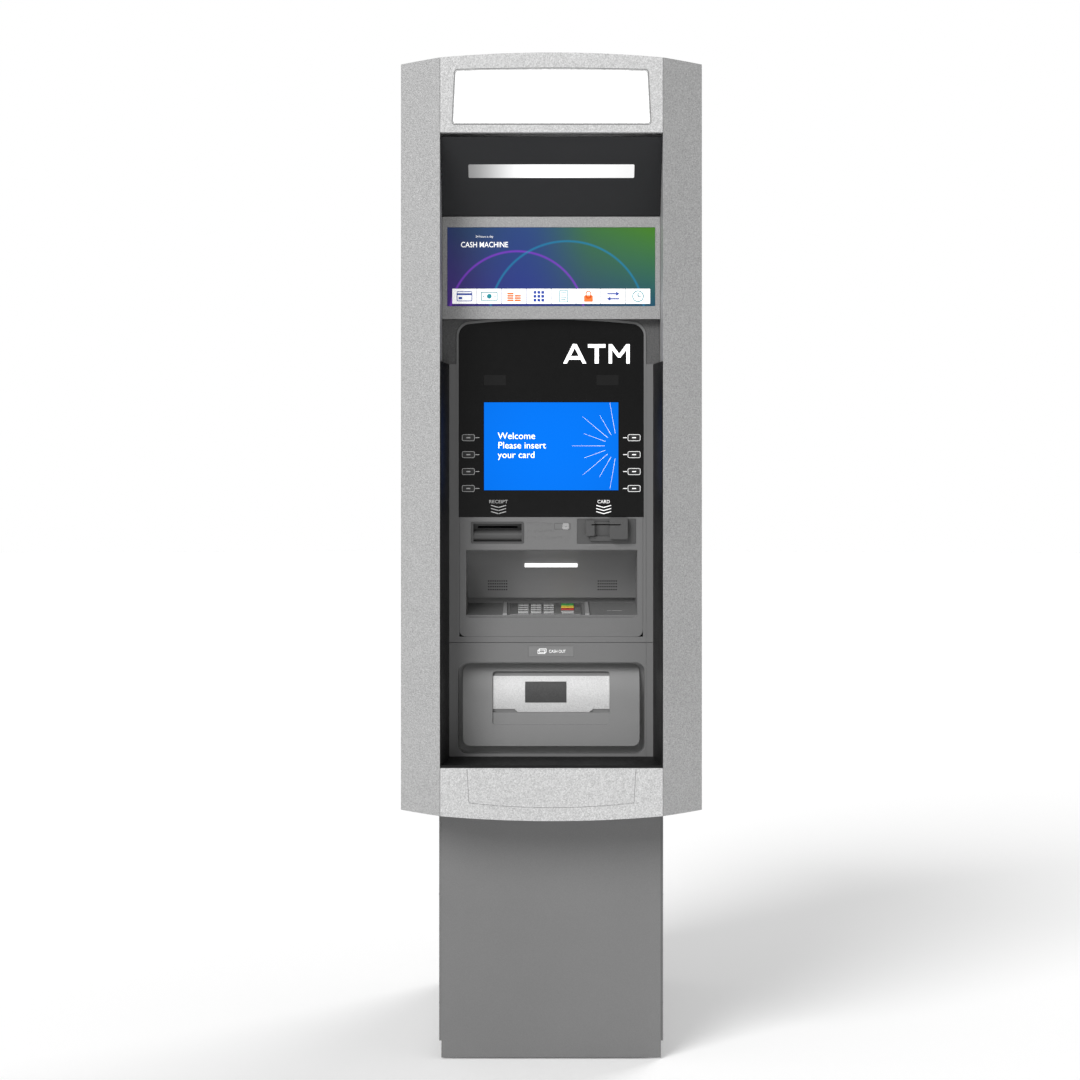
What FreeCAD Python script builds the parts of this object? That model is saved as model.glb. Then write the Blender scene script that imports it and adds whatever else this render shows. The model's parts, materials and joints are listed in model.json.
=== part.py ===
"""Lobby cash machine: a silver surround round an alcove, a customer fascia, a cabinet and a safe.

Millimetres, +Z up. The front faces -Y and +X is on the customer's right. The origin is on the
floor, in the middle of the machine's depth and width. Every size is a cell of the "dims" sheet.
"""
import FreeCAD, Part
import Sketcher
import math
import os
import re

Vector = FreeCAD.Vector
X_AXIS = Vector(1, 0, 0)
Y_AXIS = Vector(0, 1, 0)
Z_AXIS = Vector(0, 0, 1)

# ---------------------------------------------------------------- driving dimensions
SIZES = {
    # overall layout
    "total_depth": 1050,
    "surround_depth": 150,
    "sheet_thickness": 2.5,
    "seam_gap": 0.6,
    "fit_gap": 0.3,
    "cut_over": 1,
    "tool_reach": 60,
    # silver surround
    "inner_width": 477.2,
    "wing_width": 85.7,
    "wing_fold": 35,
    "wing_lip": 25,
    "surround_top": 2191,
    "surround_bottom": 545.7,
    "arch_radius": 2700,
    "header_bottom": 2020,
    "footer_top": 659,
    "light_window_width": 419.6,
    "light_window_taper": 5.6,
    "light_window_bottom": 2040.7,
    "light_window_side_top": 2150.7,
    "light_window_arch": 6660,
    "light_window_corner": 5,
    "seat_overlap": 7,
    "seat_thickness": 3,
    "hatch_seat_thickness": 2,
    "hatch_corner": 5,
    "hatch_top_width": 362,
    "hatch_bottom_width": 354,
    "hatch_bottom": 584.2,
    "hatch_arch": 1560,
    # soffit and advert
    "soffit_top": 2012,
    "soffit_front": 12,
    "advert_setback": 110,
    "advert_bottom": 1628,
    "advert_top": 1852,
    "advert_window_width": 455,
    "advert_window_bottom": 1656.3,
    "advert_window_top": 1829,
    "advert_recess": 1,
    "soffit_lamp_width": 359,
    "soffit_lamp_height": 32,
    "soffit_lamp_drop": 64,
    "soffit_gap": 2,
    "soffit_lamp_corner": 3,
    "advert_corner": 1,
    "advert_panel_thickness": 5,
    "apron_recess": 2,
    # alcove liner
    "fascia_setback": 130,
    "liner_top": 1530,
    "liner_face_width": 447.6,
    "liner_front_lip": 2,
    "liner_inset": 3,
    "sill_front_top": 664.5,
    "sill_back_top": 669,
    # fascia
    "fascia_split": 919.5,
    "fascia_seam": 1,
    "panel_width": 402.6,
    "panel_bottom": 932.2,
    "panel_corner": 14,
    "panel_skin": 4,
    "bezel_width": 406,
    "bezel_bottom": 1194.8,
    "bezel_top": 1628,
    "bezel_arch": 1700,
    "bezel_corner": 26,
    "bezel_thickness": 5,
    "rim_width": 5,
    "groove_offset": 0.6,
    "groove_width": 0.8,
    "groove_depth": 1,
    "screen_width": 297,
    "screen_bottom": 1252.7,
    "screen_top": 1447.7,
    "screen_back": 1,
    "screen_corner": 1,
    "display_margin": 10,
    "module_depth": 34,
    # function keys beside the screen
    "side_key_place": 0.614679,
    "side_key_share": 0.522936,
    "display_share": 0.183486,
    "side_key_height": 15.2,
    "side_key_first": 1369.1,
    "side_key_pitch": 37.2,
    "side_key_depth": 8,
    "side_key_travel": 1.5,
    "side_key_corner": 4,
    "side_key_proud": 0.4,
    "key_board_gap": 1.5,
    "key_board_thickness": 3,
    "key_board_margin": 5,
    "key_board_inset": 4,
    "key_gap": 0.4,
    # receipt, headphone and card openings
    "receipt_left": -176,
    "receipt_width": 116,
    "receipt_bottom": 1137,
    "receipt_height": 47,
    "receipt_depth": 38,
    "receipt_roll_radius": 13,
    "receipt_slot_height": 5,
    "receipt_proud": 1,
    "receipt_corner": 4,
    "receipt_wall": 5,
    "receipt_lip": 4,
    "receipt_back": 8,
    "receipt_bar_inset": 3,
    "receipt_slit_inset": 14,
    "receipt_slit_drop": 14,
    "jack_position": 31.8,
    "jack_level": 1174.5,
    "jack_size": 14,
    "jack_barrel_radius": 4,
    "jack_bore_radius": 1.85,
    "jack_depth": 20,
    "jack_proud": 1.5,
    "jack_corner": 3,
    "jack_blind": 3,
    "card_left": 57,
    "card_width": 129,
    "card_bottom": 1136.5,
    "card_height": 55,
    "card_slot_left": 88,
    "card_slot_width": 64,
    "card_slot_height": 2.4,
    "card_slot_level": 1178,
    "card_proud": 0.5,
    "card_plate": 5,
    "card_corner": 2,
    "left_jaw_offset": 19,
    "left_jaw_width": 19,
    "left_jaw_rise": 17,
    "left_jaw_height": 34,
    "left_jaw_proud": 14,
    "left_jaw_corner": 3,
    "right_jaw_offset": 70.6,
    "right_jaw_width": 40,
    "right_jaw_rise": 10,
    "right_jaw_height": 48,
    "right_jaw_proud": 18,
    "right_jaw_corner": 4,
    "jaw_seat": 2,
    "card_bridge_rise": 6,
    "card_bridge_height": 10,
    "card_bridge_proud": 6,
    "card_notch_rise": 16,
    "card_notch_depth": 2,
    "transport_length": 150,
    "transport_height": 30,
    "transport_drop": 22,
    "transport_wall": 6,
    # keypad recess
    "recess_left": -187,
    "recess_width": 376,
    "recess_bottom": 974,
    "recess_top": 1123,
    "recess_corner": 11,
    "recess_wall_radius": 140,
    "recess_axis_front": 37.4,
    "recess_axis_level": 987.3,
    "recess_groove_level": 1013,
    "recess_groove_depth": 116,
    "recess_shell": 4,
    "shelf_front_level": 979,
    "pad_tilt": 10.5,
    "pad_centre": -11.7,
    "pad_width": 158,
    "pad_length": 104,
    "pad_front": 7,
    "pad_plate": 8,
    "pad_housing": 30,
    "pad_housing_inset": 6,
    "pad_key_width": 23.6,
    "pad_key_length": 15,
    "pad_key_height": 9,
    "pad_key_proud": 2.6,
    "pad_key_travel": 2,
    "pad_proud": 1,
    "pad_corner": 3,
    "pad_key_corner": 1.5,
    "pad_key_edge": 0.8,
    "pad_row_pitch": 21,
    "pad_first_column": -49.5,
    "pad_column_pitch": 28.2,
    "command_column": 48.4,
    "command_key_width": 28,
    "pad_lamp_width": 117,
    "pad_lamp_height": 9,
    "pad_lamp_depth": 3,
    "pad_lamp_angle": 46,
    "lamp_gap": 0.1,
    # cash pocket
    "pocket_width": 410,
    "pocket_bottom": 675,
    "pocket_top": 876,
    "pocket_corner": 20,
    "bulge_width": 389,
    "bulge_bottom": 691,
    "bulge_top": 870,
    "bulge_corner": 16,
    "bulge_setback": 8,
    "bulge_radius": 132,
    "pocket_depth": 36,
    "label_width": 100,
    "label_height": 24,
    "label_bottom": 888,
    "label_depth": 0.8,
    "label_corner": 2,
    "track_depth": 3.5,
    "bulge_level": 790,
    "backing_plate": 2.5,
    "backing_overlap": 6,
    "track_width": 258,
    "track_bottom": 738,
    "track_top": 854,
    "track_corner": 7,
    "shutter_hood": 4.2,
    "shutter_thickness": 3,
    "shutter_gap": 0.4,
    "shutter_bottom": 772,
    "shutter_top": 844,
    "shutter_tab_left": -82,
    "shutter_tab_width": 175,
    "shutter_tab_drop": 7,
    "shutter_tab_slope": 9,
    "shutter_window_left": -57.5,
    "shutter_window_width": 91.5,
    "shutter_window_bottom": 786,
    "shutter_window_top": 832,
    "shutter_window_depth": 0.8,
    "cash_slot_width": 176,
    "cash_slot_bottom": 776,
    "cash_slot_top": 794,
    # cabinet and safe
    "cabinet_width": 494,
    "cabinet_bottom": 40,
    "cabinet_top": 1862,
    "cover_width": 484,
    "cover_bottom": 3,
    "cabinet_mouth_gap": 1,
    "header_plate_drop": 20,
    "safe_width": 470,
    "safe_bottom": 34,
    "safe_top": 945,
    "safe_front_gap": 40,
    "safe_wall": 12,
    "safe_frame": 32,
    "safe_rear_gap": 64,
    "door_plate": 12,
    "door_box_depth": 46,
    "door_box_inset": 14,
    "door_gap": 1.5,
    "door_case_wall": 3,
    "door_inset": 2,
    "door_margin": 4,
    "hinge_radius": 7,
    "hinge_gap": 0.08,
    "hinge_standoff": 9,
    "hinge_arm": 22,
    "hinge_knuckle": 28,
    "hinge_leaf": 32,
    "hinge_pin": 60,
    "hinge_play": 0.5,
    "hinge_margin_low": 90,
    "hinge_margin_high": 170,
    "bolt_radius": 9,
    "bolt_length": 52,
    "bolt_pitch": 260,
    "bolt_bar_width": 12,
    "bolt_bar_depth": 8,
    "bolt_bar_margin": 14,
    "bolt_setback": 4,
    "bolt_retreat": 3,
    "handle_level": 520,
    "handle_offset": -70,
    "handle_length": 120,
    "handle_hub_radius": 18,
    "handle_hub_length": 14,
    "handle_width": 22,
    "handle_thickness": 12,
    "handle_corner": 8,
    "handle_standoff": 4,
    "crank_length": 86,
    "crank_height": 16,
    "crank_thickness": 6,
    "crank_setback": 15,
    "outside_gap": 1,
    "spindle_radius": 8,
    "dial_level": 620,
    "dial_offset": 40,
    "dial_radius": 36,
    "dial_depth": 20,
    "dial_flange": 5,
    "dial_knob_radius": 19.8,
    "dial_spindle_radius": 5,
    "shaft_gap": 0.05,
    "rear_door_bottom": 962,
    "rear_door_depth": 22,
    "rear_flange": 14,
    "rear_hinge_radius": 6,
    "rear_pin_radius": 3,
    "rear_hinge_standoff": 6.5,
    "rear_knuckle": 20,
    "rear_door_knuckle": 36,
    "rear_pin": 54,
    "rear_hinge_low": 60,
    "rear_hinge_middle": 430,
    "rear_hinge_high": 140,
    "rear_leaf_thickness": 4,
    "lock_level": 1400,
    "lock_radius": 10,
    "lock_cam_length": 26,
    "lock_inset": 34,
    "lock_cam_width": 16,
    "lock_cam_thickness": 4,
    "lock_cam_setback": 8,
    "lock_head": 4,
    "lock_keyway": 2,
    "foot_radius": 24,
    "foot_height": 12,
    "foot_stem_radius": 8,
    "foot_inset": 60,
    "anchor_spacing_x": 300,
    "anchor_spacing_y": 560,
    "anchor_radius": 9,
    # equipment inside
    "dispenser_width": 300,
    "nose_width": 190,
    "nose_bottom": 772,
    "nose_top": 798,
    "cassette_width": 250,
    "cassette_height": 220,
    "cassette_rear_gap": 216,
    "cassette_level": 180,
    "cassette_gap": 0.5,
    "cassette_wall": 4,
    "cassette_grip_width": 120,
    "cassette_grip_depth": 28,
    "cassette_grip_height": 24,
    "cassette_hand_width": 96,
    "cassette_hand_depth": 17,
    "dispenser_front_gap": 8,
    "dispenser_front_wall": 40,
    "dispenser_rear_room": 60,
    "dispenser_roof": 6,
    "reject_rise": 40,
    "reject_height": 160,
    "path_wall": 6,
    "nose_reach": 60,
    "slot_margin": 3,
    "printer_width": 124,
    "printer_height": 104,
    "paper_roll_radius": 32,
    "printer_depth": 190,
    "printer_drop": 5,
    "printer_overhang": 4,
    "paper_roll_margin": 12,
    "paper_roll_back": 20,
}

doc = FreeCAD.newDocument("cash_machine")
dims = doc.addObject("Spreadsheet::Sheet", "dims")
for row, (alias, size) in enumerate(SIZES.items(), start=1):
    dims.set(f"A{row}", alias)
    dims.set(f"B{row}", str(size))
    dims.setAlias(f"B{row}", alias)
doc.recompute()

ALIAS = re.compile(r"\b[a-z][a-z0-9]*(?:_[a-z0-9]+)+\b")
NODES = []

# Places that several sub-parts share, as expressions of the sheet's cells.
FRONT = "(-total_depth / 2)"
CABINET = f"({FRONT} + surround_depth)"
FASCIA = f"({FRONT} + fascia_setback)"
REAR = "(total_depth / 2)"
SAFE_FRONT = f"({CABINET} + safe_front_gap)"
SAFE_REAR = f"({REAR} - safe_rear_gap)"
HALF_INNER = "(inner_width / 2)"
HALF_CABINET = "(cabinet_width / 2)"
FRAME_DEPTH = "(surround_depth - fascia_setback)"


# ---------------------------------------------------------------- helpers
def bound(expression):
    """Give each alias in the expression its sheet's name."""
    return ALIAS.sub(lambda match: "dims." + match.group(0), str(expression))


def number(expression):
    """The value of an expression of sheet cells."""
    value = dims.evalExpression(bound(expression))
    return float(getattr(value, "Value", value))


def bind(item, **properties):
    """Bind each property of the item to an expression."""
    for name, expression in properties.items():
        item.setExpression(name, bound(expression))


def place(item, x="0", y="0", z="0", axis=None, angle="0"):
    """Bind the item's place, and its turn about an axis in degrees."""
    if axis is not None:
        item.Placement = FreeCAD.Placement(Vector(), FreeCAD.Rotation(axis, 10))
        item.setExpression("Placement.Rotation.Angle", bound(angle))
    for letter, expression in zip("xyz", (x, y, z)):
        item.setExpression(f"Placement.Base.{letter}", bound(expression))
    return item


def box(name, left, width, front, depth, bottom, height):
    """A block from its low corner and its three sizes."""
    item = doc.addObject("Part::Box", name)
    bind(item, Length=width, Width=depth, Height=height)
    return place(item, left, front, bottom)


def rod(name, radius, length, x, y, z, axis=Z_AXIS):
    """A cylinder that starts at a point and runs along +X, +Y or +Z."""
    item = doc.addObject("Part::Cylinder", name)
    bind(item, Radius=radius, Height=length)
    if axis is X_AXIS:
        return place(item, x, y, z, Y_AXIS, "90")
    if axis is Y_AXIS:
        return place(item, x, y, z, X_AXIS, "-90")
    return place(item, x, y, z)


def fuse(name, *shapes):
    item = doc.addObject("Part::MultiFuse", name)
    item.Shapes = list(shapes)
    item.Refine = True
    return item


def common(name, first, second):
    item = doc.addObject("Part::Common", name)
    item.Base = first
    item.Tool = second
    return item


def cut(name, base, *tools):
    """The base less one or more tools."""
    item = doc.addObject("Part::Cut", name)
    item.Base = base
    item.Tool = tools[0] if len(tools) == 1 else fuse(name + "_tools", *tools)
    return item


def node(item, label):
    """Name a finished sub-part; its label is also its file's name."""
    item.Label = label
    NODES.append(item)
    return item


def body(name):
    return doc.addObject("PartDesign::Body", name)


def sketch_on(part, role, name):
    """A sketch on one of the body's own origin planes."""
    plane = next(item for item in part.Origin.OriginFeatures if item.Role == role)
    sketch = part.newObject("Sketcher::SketchObject", name)
    sketch.AttachmentSupport = [(plane, "")]
    sketch.MapMode = "FlatFace"
    return sketch


def outline(sketch, corners, arcs=()):
    """A closed outline, anticlockwise, with every corner bound.

    Args: corners are (u, v) expressions; arcs maps a side's number to its outward radius.
    """
    arcs = dict(arcs)
    values = [(number(u), number(v)) for u, v in corners]
    count = len(values)
    first = sketch.GeometryCount
    for side, (u, v) in enumerate(values):
        start = Vector(u, v, 0)
        end = Vector(*values[(side + 1) % count], 0)
        if side in arcs:
            radius = number(arcs[side])
            chord = end - start
            middle = (start + end) * 0.5
            rise = radius - math.sqrt(radius ** 2 - (chord.Length / 2) ** 2)
            outward = Vector(chord.y, -chord.x, 0).normalize()
            sketch.addGeometry(Part.Arc(start, middle + outward * rise, end), False)
        else:
            sketch.addGeometry(Part.LineSegment(start, end), False)
    for side in range(count):
        after = first + (side + 1) % count
        sketch.addConstraint(Sketcher.Constraint("Coincident", first + side, 2, after, 1))
    for side, ((u, v), (u_value, v_value)) in enumerate(zip(corners, values)):
        edge = first + side
        for kind, expression, value in (("DistanceX", u, u_value), ("DistanceY", v, v_value)):
            index = sketch.addConstraint(Sketcher.Constraint(kind, -1, 1, edge, 1, value))
            label = f"{kind[-1].lower()}{edge}"
            sketch.renameConstraint(index, label)
            sketch.setExpression(f"Constraints.{label}", bound(expression))
        if side in arcs:
            radius = number(arcs[side])
            index = sketch.addConstraint(Sketcher.Constraint("Radius", edge, radius))
            sketch.renameConstraint(index, f"r{edge}")
            sketch.setExpression(f"Constraints.r{edge}", bound(arcs[side]))
    return sketch


def rectangle(sketch, left, width, bottom, height):
    right = f"({left} + {width})"
    top = f"({bottom} + {height})"
    return outline(sketch, [(left, bottom), (right, bottom), (right, top), (left, top)])


def pad(part, sketch, length, backward=True):
    """Grow the body from the sketch; backward is against the plane's normal."""
    feature = part.newObject("PartDesign::Pad", sketch.Name + "_pad")
    feature.Profile = sketch
    feature.Reversed = backward
    bind(feature, Length=length)
    sketch.Visibility = False
    return feature


def pocket(part, sketch, depth):
    """Cut the body from the sketch, the opposite way to the plane's normal."""
    feature = part.newObject("PartDesign::Pocket", sketch.Name + "_cut")
    feature.Profile = sketch
    bind(feature, Length=depth)
    return feature


def round_edges(part, radius, direction, where=lambda point: True):
    """Fillet the straight edges that run along the direction and pass the test."""
    doc.recompute()
    tip = part.Tip
    names = []
    for index, edge in enumerate(tip.Shape.Edges, start=1):
        if edge.Curve.TypeId != "Part::GeomLine":
            continue
        if abs(edge.Curve.Direction.dot(direction)) > 0.999 and where(edge.CenterOfMass):
            names.append(f"Edge{index}")
    feature = part.newObject("PartDesign::Fillet", f"{part.Name}_round{len(part.Group)}")
    feature.Base = (tip, names)
    bind(feature, Radius=radius)
    return feature


def plate(name, left, width, bottom, height, front, thickness, corner=None):
    """A body that starts as an upright plate, its front face at the given depth."""
    part = body(name)
    pad(part, rectangle(sketch_on(part, "XZ_Plane", name + "_face"), left, width, bottom, height),
        thickness)
    if corner is not None:
        round_edges(part, corner, Y_AXIS)
    place(part, y=front)
    return part


def opening(part, name, left, width, bottom, height, depth, corner=None):
    """A rectangular cut into an upright plate, from its front face."""
    pocket(part, rectangle(sketch_on(part, "XZ_Plane", name), left, width, bottom, height), depth)
    if corner is not None:
        low_u, low_v = number(left), number(bottom)
        high_u, high_v = low_u + number(width), low_v + number(height)

        def at_corner(point):
            near_u = min(abs(point.x - low_u), abs(point.x - high_u)) < 0.01
            near_v = min(abs(point.z - low_v), abs(point.z - high_v)) < 0.01
            return near_u and near_v

        round_edges(part, corner, Y_AXIS, at_corner)
    return part


def arched(sketch, half_width, bottom, side_top, arch, half_bottom=None):
    """An outline with straight sides and an arched top."""
    low = half_bottom or half_width
    corners = [(f"-({low})", bottom), (low, bottom), (half_width, side_top),
               (f"-({half_width})", side_top)]
    return outline(sketch, corners, {2: arch})


# ---------------------------------------------------------------- silver surround
def surround_lens(name, inset="0"):
    """The arched outline that the whole surround shares, as a thick lens."""
    radius = f"(arch_radius - {inset})"
    upper = rod(name + "_upper", radius, "surround_depth", "0", FRONT,
                "surround_top - arch_radius", Y_AXIS)
    lower = rod(name + "_lower", radius, "surround_depth", "0", FRONT,
                "surround_bottom + arch_radius", Y_AXIS)
    return common(name, upper, lower)


OUTER_LENS = surround_lens("outer_lens")
INNER_LENS = surround_lens("inner_lens", "sheet_thickness")
SURROUND_HEIGHT = "(surround_top - surround_bottom)"


def wing(side, sign):
    """A folded sheet: a raked face, a lip behind its outer edge and a leg beside the alcove."""
    seam = f"({HALF_INNER} + seam_gap / 2)"
    outer = f"({HALF_INNER} + wing_width)"
    inner_x = f"({seam} + sheet_thickness)"
    lip_x = f"({outer} - sheet_thickness)"
    corners = [(seam, FRONT), (outer, f"{FRONT} + wing_fold"),
               (outer, f"{FRONT} + wing_fold + wing_lip"),
               (lip_x, f"{FRONT} + wing_fold + wing_lip"),
               (lip_x, f"{FRONT} + wing_fold + sheet_thickness"),
               (inner_x, f"{FRONT} + sheet_thickness"), (inner_x, CABINET), (seam, CABINET)]
    if sign < 0:
        corners = [(f"-({u})", v) for u, v in reversed(corners)]
    blank = body(f"wing_{side}_blank")
    pad(blank, outline(sketch_on(blank, "XY_Plane", f"wing_{side}_fold"), corners),
        SURROUND_HEIGHT, backward=False)
    place(blank, z="surround_bottom")
    node(common(f"wing_{side}", blank, OUTER_LENS), f"wing_{side}")


def light_window(name, front, grow, thickness):
    """A plate of the light window's outline, grown all round."""
    part = body(name)
    half_low = f"(light_window_width / 2 + {grow})"
    half_high = f"(light_window_width / 2 - light_window_taper + {grow})"
    sketch = sketch_on(part, "XZ_Plane", name + "_face")
    arched(sketch, half_high, f"light_window_bottom - {grow}",
           f"light_window_side_top + {grow}", "light_window_arch", half_low)
    pad(part, sketch, thickness)
    round_edges(part, f"light_window_corner + {grow}", Y_AXIS)
    return place(part, y=front)


def header():
    """The arched header box with its lit window."""
    width = "(inner_width - seam_gap)"
    block = box("header_block", f"-{width} / 2", width, FRONT, "surround_depth",
                "header_bottom", "surround_top - header_bottom")
    hollow = box("header_hollow", f"-{width} / 2 + sheet_thickness",
                 f"{width} - 2 * sheet_thickness", f"{FRONT} + sheet_thickness",
                 "surround_depth", "header_bottom + sheet_thickness",
                 "surround_top - header_bottom")
    shell = cut("header_shell", common("header_outer", block, OUTER_LENS),
                common("header_inner", hollow, INNER_LENS))
    window = light_window("header_window", f"{FRONT} - cut_over", "0",
                          "sheet_thickness + 2 * cut_over")
    node(cut("header_panel", shell, window), "header_panel")
    lens = light_window("header_lens", FRONT, "(-fit_gap)", "sheet_thickness")
    seat = light_window("header_lens_seat", f"{FRONT} + sheet_thickness", "seat_overlap",
                        "seat_thickness")
    node(fuse("header_light_window", lens, seat), "header_light_window")


def hatch_plate(name, front, grow, thickness):
    """A plate of the footer hatch's outline, with an arched lower edge."""
    part = body(name)
    half_high = f"(hatch_top_width / 2 + {grow})"
    half_low = f"(hatch_bottom_width / 2 + {grow})"
    low = f"(hatch_bottom - {grow})"
    high = "(footer_top - sheet_thickness)"
    sketch = sketch_on(part, "XZ_Plane", name + "_face")
    outline(sketch, [(f"-{half_low}", low), (half_low, low), (half_high, high),
                     (f"-{half_high}", high)], {0: "hatch_arch"})
    pad(part, sketch, thickness)
    round_edges(part, f"hatch_corner + {grow}", Y_AXIS,
                lambda point: point.z < number("(hatch_bottom + footer_top) / 2"))
    return place(part, y=front)


def footer():
    """The footer box under the alcove, with its screwed-in hatch."""
    width = "(inner_width - seam_gap)"
    height = "(footer_top - surround_bottom)"
    block = box("footer_block", f"-{width} / 2", width, FRONT, "surround_depth",
                "surround_bottom", height)
    hollow = box("footer_hollow", f"-{width} / 2 + sheet_thickness",
                 f"{width} - 2 * sheet_thickness", f"{FRONT} + sheet_thickness",
                 "surround_depth", "surround_bottom", f"{height} - sheet_thickness")
    shell = cut("footer_shell", common("footer_outer", block, OUTER_LENS),
                common("footer_inner", hollow, INNER_LENS))
    window = hatch_plate("footer_window", f"{FRONT} - cut_over", "0",
                         "sheet_thickness + 2 * cut_over")
    node(cut("footer_panel", shell, window), "footer_panel")
    skin = hatch_plate("hatch_skin", FRONT, "(-seam_gap)", "sheet_thickness")
    seat = hatch_plate("hatch_seat", f"{FRONT} + sheet_thickness", "seat_overlap",
                       "hatch_seat_thickness")
    node(fuse("footer_cover", skin, seat), "footer_cover")


def soffit():
    """The raked panel under the header, and the lamp lens set into it."""
    drop = "(soffit_top - advert_top - soffit_gap)"
    back = "(advert_setback - soffit_front)"
    slope = f"sqrt({drop}^2 + {back}^2)"
    rake = f"atan({back} / {drop})"
    width = "(inner_width - 2 * fit_gap)"
    lamp_bottom = f"({slope} - soffit_lamp_drop - soffit_lamp_height)"
    place_y = f"{FRONT} + advert_setback"
    place_z = "advert_top + soffit_gap"
    panel = plate("soffit_sheet", f"-{width} / 2", width, "0", slope, "0", "sheet_thickness")
    opening(panel, "soffit_hole", "-soffit_lamp_width / 2", "soffit_lamp_width", lamp_bottom,
            "soffit_lamp_height", "sheet_thickness", "soffit_lamp_corner")
    place(panel, "0", place_y, place_z, X_AXIS, rake)
    node(panel, "soffit_panel")
    lens = plate("soffit_lens", "-soffit_lamp_width / 2 + fit_gap",
                 "soffit_lamp_width - 2 * fit_gap", f"{lamp_bottom} + fit_gap",
                 "soffit_lamp_height - 2 * fit_gap", "0", "sheet_thickness",
                 "soffit_lamp_corner - fit_gap")
    sketch = sketch_on(lens, "XZ_Plane", "soffit_lens_seat")
    rectangle(sketch, "-soffit_lamp_width / 2 - seat_overlap",
              "soffit_lamp_width + 2 * seat_overlap", f"{lamp_bottom} - seat_overlap",
              "soffit_lamp_height + 2 * seat_overlap")
    sketch.AttachmentOffset = FreeCAD.Placement(Vector(0, 0, -number("sheet_thickness")),
                                                FreeCAD.Rotation())
    sketch.setExpression("AttachmentOffset.Base.z", bound("-sheet_thickness"))
    pad(lens, sketch, "seat_thickness")
    place(lens, "0", place_y, place_z, X_AXIS, rake)
    node(lens, "soffit_lamp")


def advert():
    """The silver frame above the screen, its apron beside the bezel, and its picture panel."""
    width = "(inner_width - 2 * fit_gap)"
    front = f"({FRONT} + advert_setback)"
    frame = box("advert_ring", f"-{width} / 2", width, front, "surround_depth - advert_setback",
                "advert_bottom", "advert_top - advert_bottom")
    hole = plate("advert_hole", "-advert_window_width / 2", "advert_window_width",
                 "advert_window_bottom", "advert_window_top - advert_window_bottom",
                 f"{front} - cut_over", "surround_depth", "advert_corner")
    apron = box("advert_apron", f"-{width} / 2", width, f"{FASCIA} + apron_recess",
                f"{FRAME_DEPTH} - apron_recess",
                "liner_top + seam_gap", "advert_bottom - liner_top")
    rim = bezel_outline("apron_hole", FASCIA, "rim_width + seam_gap", "surround_depth")
    node(cut("advert_frame_solid", fuse("advert_sheet", frame, apron), hole, rim),
         "advert_frame")
    panel = plate("advert_panel", "-advert_window_width / 2 + fit_gap",
                  "advert_window_width - 2 * fit_gap", "advert_window_bottom + fit_gap",
                  "advert_window_top - advert_window_bottom - 2 * fit_gap",
                  f"{front} + advert_recess", "advert_panel_thickness")
    node(panel, "advert_panel")


def liner():
    """The black reveals each side of the alcove and the sill between them."""
    half = f"({HALF_INNER} - fit_gap)"
    height = "(liner_top - footer_top - fit_gap)"
    sides = []
    for side, sign in (("left", -1), ("right", 1)):
        face = "(liner_face_width / 2)"
        corners = [(f"{half} - liner_front_lip", f"{FRONT} + liner_inset"),
                   (half, f"{FRONT} + liner_inset"), (half, FASCIA), (face, FASCIA)]
        if sign < 0:
            corners = [(f"-({u})", v) for u, v in reversed(corners)]
        reveal = body(f"reveal_{side}")
        pad(reveal, outline(sketch_on(reveal, "XY_Plane", f"reveal_{side}_plan"), corners),
            height, backward=False)
        place(reveal, z="footer_top + fit_gap")
        sides.append(reveal)
    sill = body("sill")
    corners = [(f"{FRONT} + liner_inset", "footer_top + fit_gap"),
               (FASCIA, "footer_top + fit_gap"), (FASCIA, "sill_back_top"),
               (f"{FRONT} + liner_inset", "sill_front_top")]
    pad(sill, outline(sketch_on(sill, "YZ_Plane", "sill_section"), corners),
        f"2 * {half}", backward=False)
    place(sill, x=f"-{half}")
    node(fuse("alcove_liner", *sides, sill), "alcove_liner")


# ---------------------------------------------------------------- customer fascia
BEZEL_RISE = "(bezel_arch - sqrt(bezel_arch^2 - bezel_width^2 / 4))"
ABOVE_BEZEL_FOOT = "(bezel_bottom + bezel_top) / 2"


def bezel_outline(name, front, grow, thickness):
    """A plate of the screen bezel's arched outline, grown all round."""
    part = body(name)
    half = f"(bezel_width / 2 + {grow})"
    sketch = sketch_on(part, "XZ_Plane", name + "_face")
    arched(sketch, half, f"bezel_bottom - {grow}", f"bezel_top - {BEZEL_RISE} + {grow}", "bezel_arch")
    pad(part, sketch, thickness)
    round_edges(part, f"bezel_corner + {grow}", Y_AXIS,
                lambda point: point.z > number(ABOVE_BEZEL_FOOT))
    return place(part, y=front)


def groove_left(sign):
    """The left edge of the moulded groove beside the bezel."""
    return f"{sign} * (bezel_width / 2 + rim_width + groove_offset) - groove_width / 2"


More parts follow.
